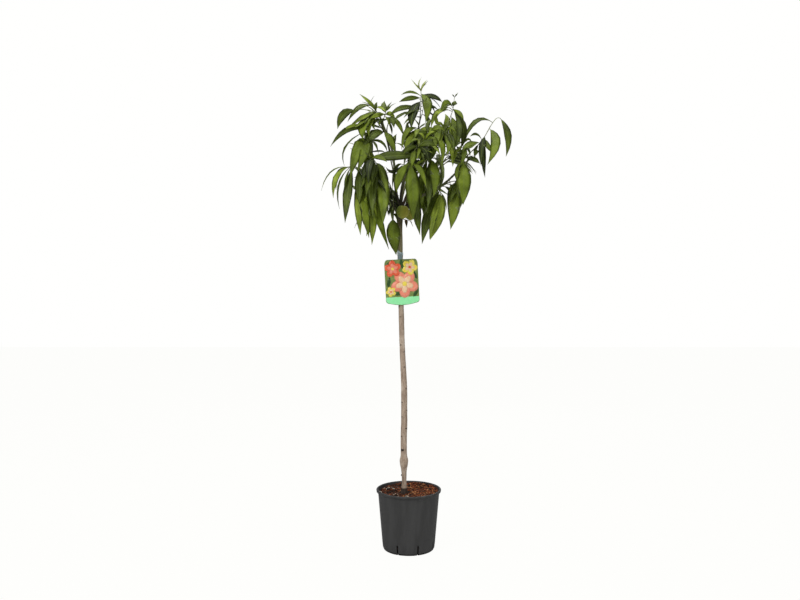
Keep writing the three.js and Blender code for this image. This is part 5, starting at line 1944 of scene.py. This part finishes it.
@dataclass
class Peach:
    """A small unripe peach: a ball with a hollow at its stalk, a groove down one side and a slight point."""

    name: str
    middle: Triple  # millimetres
    radius: float
    groove: float  # the bearing of its groove, degrees
    stalk: tuple[Triple, ...]  # from the limb to the hollow, millimetres
    rows: int = 30
    columns: int = 44
    hollow: float = 0.16  # these four as shares of its radius
    point: float = 0.05
    groove_depth: float = 0.055
    uneven: float = 0.015
    blush_bearing: float = -20.0  # degrees

    def build(self) -> bpy.types.Object:
        """Radius as a function of the angle from the top and the bearing, then the stalk."""
        down = np.linspace(np.pi, 0, self.rows + 2)[1:-1, None]
        turn = around(self.columns)[None]
        apart = Stem.angle(turn - np.radians(self.groove))
        share = 1 - self.hollow * bell(down, 0.42) + self.point * bell(np.pi - down, 0.3)
        share = share - self.groove_depth * np.sin(down) * bell(apart, 0.2)
        share = share + self.uneven * np.cos(3 * turn) * np.sin(down)
        out = self.radius * share
        ball = xyz(out * np.sin(down) * np.cos(turn), out * np.sin(down) * np.sin(turn), out * np.cos(down))
        warm = np.cos(turn - np.radians(self.blush_bearing)) * np.sin(down)
        pile = Pile()
        pile.tube(ball + np.array(self.middle) * MM, mark=ease(0.5 + 0.6 * warm - 0.1 * np.cos(down)))
        path = curve(np.array(self.stalk) * MM, 12)
        pile.rod(path, (1.6 * MM, 1.3 * MM), 10, np.array([0.3, 1.0, 0.2]), 1)
        return pile.piece(self.name, [FruitSkin().material(), ShootSkin("fruit_stalk").material()])


@dataclass
class WitheredBits:
    """Two shrivelled leaves on a thread-like spur under the fruit."""

    way: tuple[Triple, ...] = ((-24, -4, 966), (-12, -12, 961), (4, -15, 956))  # millimetres
    tips: tuple[Triple, ...] = ((-6, -18, 936), (12, -16, 940))

    def build(self) -> bpy.types.Object:
        """The spur as a tube and the two leaves on it."""
        path = curve(np.array(self.way) * MM, 14)
        pile = Pile()
        pile.rod(path, (1.3 * MM, 0.6 * MM), 8, UP, Tone.DRY.number)
        bow = 6 * MM * (UP * 0.2 + FRONT)
        ends = zip((path[8], path[-1]), np.array(self.tips) * MM)
        Blade().add(pile, [Leaf(base, base + bow, tip, 10, 0.4, Tone.DRY, 0.7, 0.2) for base, tip in ends])
        return pile.piece("withered_bits", Tone.materials())


# ---------- Hang tag ----------


class Print(Numbered):
    """The card's inks."""

    GROUND = Ink("tag_ground", tint(118, 140, 76), tint(146, 164, 92))
    CORAL = Ink("tag_coral", tint(254, 142, 116), tint(255, 168, 138))
    SCARLET = Ink("tag_scarlet", tint(244, 92, 58), tint(252, 124, 82))
    YELLOW = Ink("tag_yellow", tint(254, 226, 70), tint(255, 238, 118))
    APRICOT = Ink("tag_apricot", tint(255, 206, 158), tint(255, 224, 186))
    LEAF = Ink("tag_leaf", tint(44, 78, 34), tint(66, 104, 50))
    NECK = Ink("tag_neck", tint(120, 136, 140), tint(146, 160, 162))
    MINT = Ink("tag_mint", tint(156, 255, 178), tint(172, 255, 192))


@dataclass
class HangTag:
    """A glossy card on the front of the stem, printed with made-up blossoms, and the strap that holds it."""

    width: float = 98 * MM
    depth: float = 134 * MM
    top: float = 845 * MM
    shoulder: float = 9 * MM
    shoulder_drop: float = 16 * MM
    foot_round: float = 12 * MM
    foot_rise: float = 9 * MM
    belly: float = 5 * MM
    lean: float = 2.9
    aside: float = 1.3 * MM  # its middle is this far to the right of the stem
    curl: float = 2.6 * MM  # how far the foot of the card bends forward
    bow: float = 0.9 * MM  # and its sides bend back
    neck: float = 13.5 * MM
    neck_taper: float = 1.7 * MM
    columns: int = 41
    rows: int = 46
    lift: float = 0.07 * MM  # each layer of print over the one below
    sunk: float = 0.05 * MM  # how far the print goes into the card
    hem: float = 0.6 * MM  # how near the card's edge the print comes
    strap: float = 0.8 * MM  # its thickness
    # The loose loop's way from the middle of the strap, in millimetres.
    loop: tuple[Triple, ...] = ((3, -11, 1), (-5, -13, 6), (-13, -10, 11), (-15, -2, 8), (-11, 4, 2))
    band_from: float = 110 * MM  # where the band along its foot starts
    # Where its printed leaves are, across and down in millimetres, and their turn in degrees.
    sprigs: tuple[Triple, ...] = (
        (-38, 66, 100), (-6, 52, 15), (38, 46, 60), (-10, 100, 170), (40, 98, 120), (2, 14, 80),
        (-42, 18, 130),
    )
    # Each blossom's middle, radius, turn, first layer and inks.
    blossoms: tuple[tuple[Pair, float, float, int, tuple[Print, Print, Print]], ...] = (
        ((8, 72), 40, 20, 3, (Print.CORAL, Print.APRICOT, Print.YELLOW)),
        ((-25, 27), 25, 50, 5, (Print.SCARLET, Print.CORAL, Print.YELLOW)),
        ((25, 24), 23, 8, 7, (Print.YELLOW, Print.APRICOT, Print.SCARLET)),
        ((-33, 94), 15, 30, 9, (Print.YELLOW, Print.APRICOT, Print.SCARLET)),
    )

    def __post_init__(self) -> None:
        """Reads the card's plane, its middle and its neck from the frame."""
        low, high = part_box("tag_plate")
        self.front = low.y
        self.thickness = high.y - low.y
        self.crest = high.z
        stem = Spine("trunk").middles
        self.middle = float(np.interp(self.top, stem[:, 2], stem[:, 0])) + self.aside

    def on(self, across: Array, down: Array, lift: Array | float) -> Array:
        """Places on the card: across from its middle and down from its top, raised off its bowed front.

        Args:
            across, down: metres on the flat card.
            lift: how far in front of the card's face; negative is into the card.

        Returns:
            Points (..., 3), with the card's lean and curl.
        """
        lean = np.radians(self.lean)
        x = across * np.cos(lean) + down * np.sin(lean)
        z = across * np.sin(lean) - down * np.cos(lean)
        forward = -self.curl * np.clip(down / self.depth, 0, 1) ** 2.2
        bent = forward + self.bow * (across / self.width * 2) ** 2
        return xyz(self.middle + x, self.front + bent - lift, self.top + z)

    def edges(self, across: Array) -> tuple[Array, Array]:
        """How far down the card's top and foot are at a place across it: round corners, and a bowed foot."""
        out = np.abs(across)
        half = self.width / 2
        corner = np.clip((out - half + self.shoulder) / self.shoulder, 0, 1)
        heel = np.clip((out - half + self.foot_round) / self.foot_round, 0, 1)
        top = self.shoulder_drop * (1 - np.sqrt(1 - corner**2))
        middle = self.depth - self.belly * (out / (half - self.foot_round)).clip(0, 1) ** 2
        return top, middle - self.foot_rise * (1 - np.sqrt(1 - heel**2))

    def sheet(self, pile: Pile, across: Array, down: Array, front: float, back: float, ink: Print) -> None:
        """A closed sheet over a grid of places on the card, from front to back off the card's face."""
        ahead, behind = (self.on(across, down, lift) for lift in (front, back))
        pile.tube(np.concatenate([ahead, behind[:, ::-1]], 1), ink.number)

    def build_card(self) -> bpy.types.Object:
        """The card with its neck, and the print as thin layers on it: foot band, leaves, blossoms."""
        pile = Pile()
        share = np.linspace(0, 1, self.rows)[:, None]
        across = self.width / 2 * np.sin(np.linspace(-np.pi / 2, np.pi / 2, self.columns))
        top, foot = self.edges(across)
        self.sheet(pile, across, top + share * (foot - top), 0.0, -self.thickness, Print.GROUND)
        band = self.band_from + share * (foot - 1 * MM - self.band_from)
        self.sheet(pile, across * 0.985, band, self.lift, self.lift - self.lift * 1.4, Print.MINT)
        half = self.neck / 2 * np.linspace(-1, 1, self.columns)
        taper = 1 - self.neck_taper * 2 / self.neck * share
        down = 6 * MM - share * (self.crest - self.top + 6 * MM)
        self.sheet(pile, half * taper - self.aside, down, -0.01 * MM, 0.01 * MM - self.thickness, Print.NECK)
        angle = around(20)
        lens = np.stack([15 * np.cos(angle), 5.5 * np.sin(angle) * np.abs(np.sin(angle)) ** 0.3], -1)
        for x, y, turn in self.sprigs:
            self.patch(pile, np.array([x, y]), lens, turn, 1, Print.LEAF)
        for at, *rest in self.blossoms:
            self.blossom(pile, np.array(at), *rest)
        return pile.piece("tag_card", Print.materials(), ["tag_plate"])

    def blossom(
        self, pile: Pile, at: Array, size: float, turn: float, layer: int, inks: Sequence[Print]
    ) -> None:
        """Five round petals, each with a paler inner part, and a heart.

        Args:
            pile: takes the print.
            at: across and down, millimetres.
            size: its radius, millimetres.
            turn: degrees.
            layer: which layer of print it starts on.
            inks: of the petals, their inner part and the heart.
        """
        circle = heading(around(28))[:, :2]
        petal = size * circle * [0.5, 0.4]
        for k in range(5):
            lean = turn + 72 * k
            step = 0.52 * size * heading(np.radians(lean))[:2]
            self.patch(pile, at + step, petal, lean, layer + 0.1 * k, inks[0])
            self.patch(pile, at + 0.7 * step, petal * [0.6, 0.5], lean, layer + 0.8, inks[1])
        self.patch(pile, at, 0.17 * size * circle, 0, layer + 1.6, inks[2])

    def patch(self, pile: Pile, at: Array, outline: Array, turn: float, layer: float, ink: Print) -> None:
        """A thin closed patch of print: its outline, in millimetres about its middle, turned and laid on."""
        cos, sin = np.cos(np.radians(turn)), np.sin(np.radians(turn))
        flat = outline @ np.array([[cos, sin], [-sin, cos]])
        half, top = self.width / 2 - self.hem, layer * self.lift
        rings = []
        for share, lift in ((0.5, -self.sunk), (1.0, -self.sunk), (1.0, top), (0.5, top)):
            place = (at + flat * share) * MM
            across = np.clip(place[:, 0], -half, half)
            head, foot = self.edges(across)
            rings.append(self.on(across, np.clip(place[:, 1], head + self.hem, foot - self.hem), lift))
        pile.tube(np.array(rings), ink.number)

    @staticmethod
    def blunt(values: Array, power: float) -> Array:
        """Values with their size raised to a power, which makes a circle of them more of a square."""
        return np.sign(values) * np.abs(values) ** power

    def build_strap(self) -> bpy.types.Object:
        """A band round the stem as a ring of rounded sections, and the loose loop at its left."""
        low, high = (np.array(corner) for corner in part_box("tag_strap"))
        middle, half = (low + high) / 2, (high - low) / 2
        sides = 12
        corner = around(sides)
        out = self.blunt(np.cos(corner), 0.4) * self.strap / 2
        up = self.blunt(np.sin(corner), 0.4) * half[2]
        spoke = heading(around(72))[:, None]
        band = middle + spoke * (half[0] - self.strap / 2 + out)[:, None] + UP * up[:, None]
        pile = Pile()
        pile.add(band, [(grid_faces(len(band) + 1, sides, True)[:, ::-1] % (len(band) * sides), 0)])
        path = curve(np.array(self.loop) * MM + middle, 30)
        flat = np.stack([self.blunt(np.cos(corner), 0.5) * 0.5 * MM, 2.4 * MM * np.sin(corner)], -1)
        ahead = unit(np.gradient(path, axis=0))
        aside = unit(np.cross(ahead, UP))
        rise = np.cross(aside, ahead)
        pile.tube(path[:, None] + aside[:, None] * flat[:, :1] + rise[:, None] * flat[:, 1:])
        skin = Ink("strap_plastic", tint(166, 184, 186), tint(186, 202, 202), 0.32)
        return pile.piece("strap", [skin.material()], ["tag_strap"])


# ---------- Studio ----------


@dataclass
class Studio:
    """A white floor and surround, three soft lamps in front and above, one behind, and the camera."""

    sight: Sight = field(default_factory=Sight)
    floor_half: float = 9.0
    floor_glow: float = 0.98
    surround: float = 0.18  # how strongly the white surround lights the tree
    # Name, place, aim, width in metres, watts.
    lamps: tuple[tuple[str, Triple, Triple, float, float], ...] = (
        ("key", (-1.9, -2.2, 2.6), (0.0, 0.0, 0.95), 1.4, 58.0),
        ("fill", (2.1, -2.0, 1.3), (0.0, 0.0, 0.8), 1.8, 20.5),
        ("top", (0.1, -0.2, 3.2), (0.0, 0.0, 1.0), 1.8, 26.0),
        ("back", (0.3, 2.6, 2.0), (0.0, 0.0, 0.9), 2.0, 20.0),
    )

    def build(self) -> None:
        """Sets the floor, the surround, the lamps and the camera."""
        self.lay_floor()
        self.light_surround()
        for name, place, aim, width, watts in self.lamps:
            light = bpy.data.lights.new(f"lamp_{name}", "AREA")
            light.shape = "DISK"
            light.size = width
            light.energy = watts
            self.put(bpy.data.objects.new(f"lamp_{name}", light), place, aim)
        camera = bpy.data.cameras.new("camera")
        camera.lens = self.sight.lens
        camera.sensor_width = self.sight.sensor
        eye = self.sight.eye
        made = self.put(bpy.data.objects.new("camera", camera), eye, (eye[0], 0.0, eye[2]))
        bpy.context.scene.camera = made
        bpy.context.scene.view_settings.view_transform = "Standard"

    @staticmethod
    def put(made: bpy.types.Object, place: Sequence[float], aim: Sequence[float]) -> bpy.types.Object:
        """Stands a lamp or camera at a place and points it at another."""
        bpy.context.scene.collection.objects.link(made)
        made.location = place
        x, y, z = np.array(aim) - np.array(place)
        up, bearing = np.arctan2(z, np.hypot(x, y)), np.arctan2(y, x)
        made.rotation_euler = (np.pi / 2 + up, 0.0, bearing - np.pi / 2)
        return made

    def lay_floor(self) -> None:
        """One large white sheet just under the container."""
        count = 19
        side = np.linspace(-self.floor_half, self.floor_half, count)
        points = xyz(*np.meshgrid(side, side), -0.2 * MM)
        mesh = bpy.data.meshes.new("floor")
        mesh.from_pydata(points.reshape(-1, 3).tolist(), [], grid_faces(count, count, False).tolist())
        mesh.materials.append(self.floor_finish())
        floor = bpy.data.objects.new("floor", mesh)
        bpy.context.scene.collection.objects.link(floor)

    def floor_finish(self) -> bpy.types.Material:
        """White paper, burnt out to the surround's white where it is looked at, but for a trace of shadow."""
        shader = Shader("studio_floor", Roughness=0.9)
        shader.set("Base Color", tint(226, 226, 224))
        glow = shader.node("ShaderNodeEmission", {}, {"Color": tint(255, 255, 253)})
        seen = shader.node("ShaderNodeLightPath", {}, {}, "Is Camera Ray")
        paper = Value(shader, shader.surface.outputs["BSDF"])
        whole = shader.node("ShaderNodeMixShader", {}, {0: seen * self.floor_glow, 1: paper, 2: glow})
        shader.feed(shader.tree.nodes["Material Output"].inputs["Surface"], whole)
        return shader.material

    def light_surround(self) -> None:
        """A white surround, seen at full strength and lighting the tree more weakly."""
        world = bpy.data.worlds.new("surround")
        world.use_nodes = True
        bpy.context.scene.world = world
        nodes = Nodes(world.node_tree)
        seen = nodes.node("ShaderNodeLightPath", {}, {}, "Is Camera Ray")
        inputs = {"Value": seen, "To Min": self.surround, "To Max": 1.0}
        sky = nodes.tree.nodes["Background"]
        nodes.feed(sky.inputs["Color"], tint(255, 255, 254))
        nodes.feed(sky.inputs["Strength"], nodes.node("ShaderNodeMapRange", {}, inputs))


# ---------- The whole plant ----------


def main() -> None:
    """Builds the studio, the container, the stem, its boughs, the crown, the fruit and the tag."""
    logging.basicConfig(level=logging.INFO, format="%(name)s %(message)s")
    studio = Studio()
    studio.build()
    container = Container()
    container.build()
    root_ball = RootBall(container)
    root_ball.build_mix()
    root_ball.build_chips()
    stem = Stem()
    stem.build()
    boughs = Boughs(stem.head)
    boughs.build()
    Crown(boughs, studio.sight).build()
    stalk = ((-21, -17, 1014), (-19, -31, 1010), (-18, -35, 996))
    Peach("peach_front", (-18, -35, 981), 19.5 * MM, -60, stalk).build()
    stalk = ((3, -1, 1010), (5, -4, 1001), (4, -4, 987))
    Peach("peach_behind", (4, -4, 975), 15 * MM, -110, stalk).build()
    WitheredBits().build()
    tag = HangTag()
    tag.build_card()
    tag.build_strap()


if __name__ == "__main__":
    main()
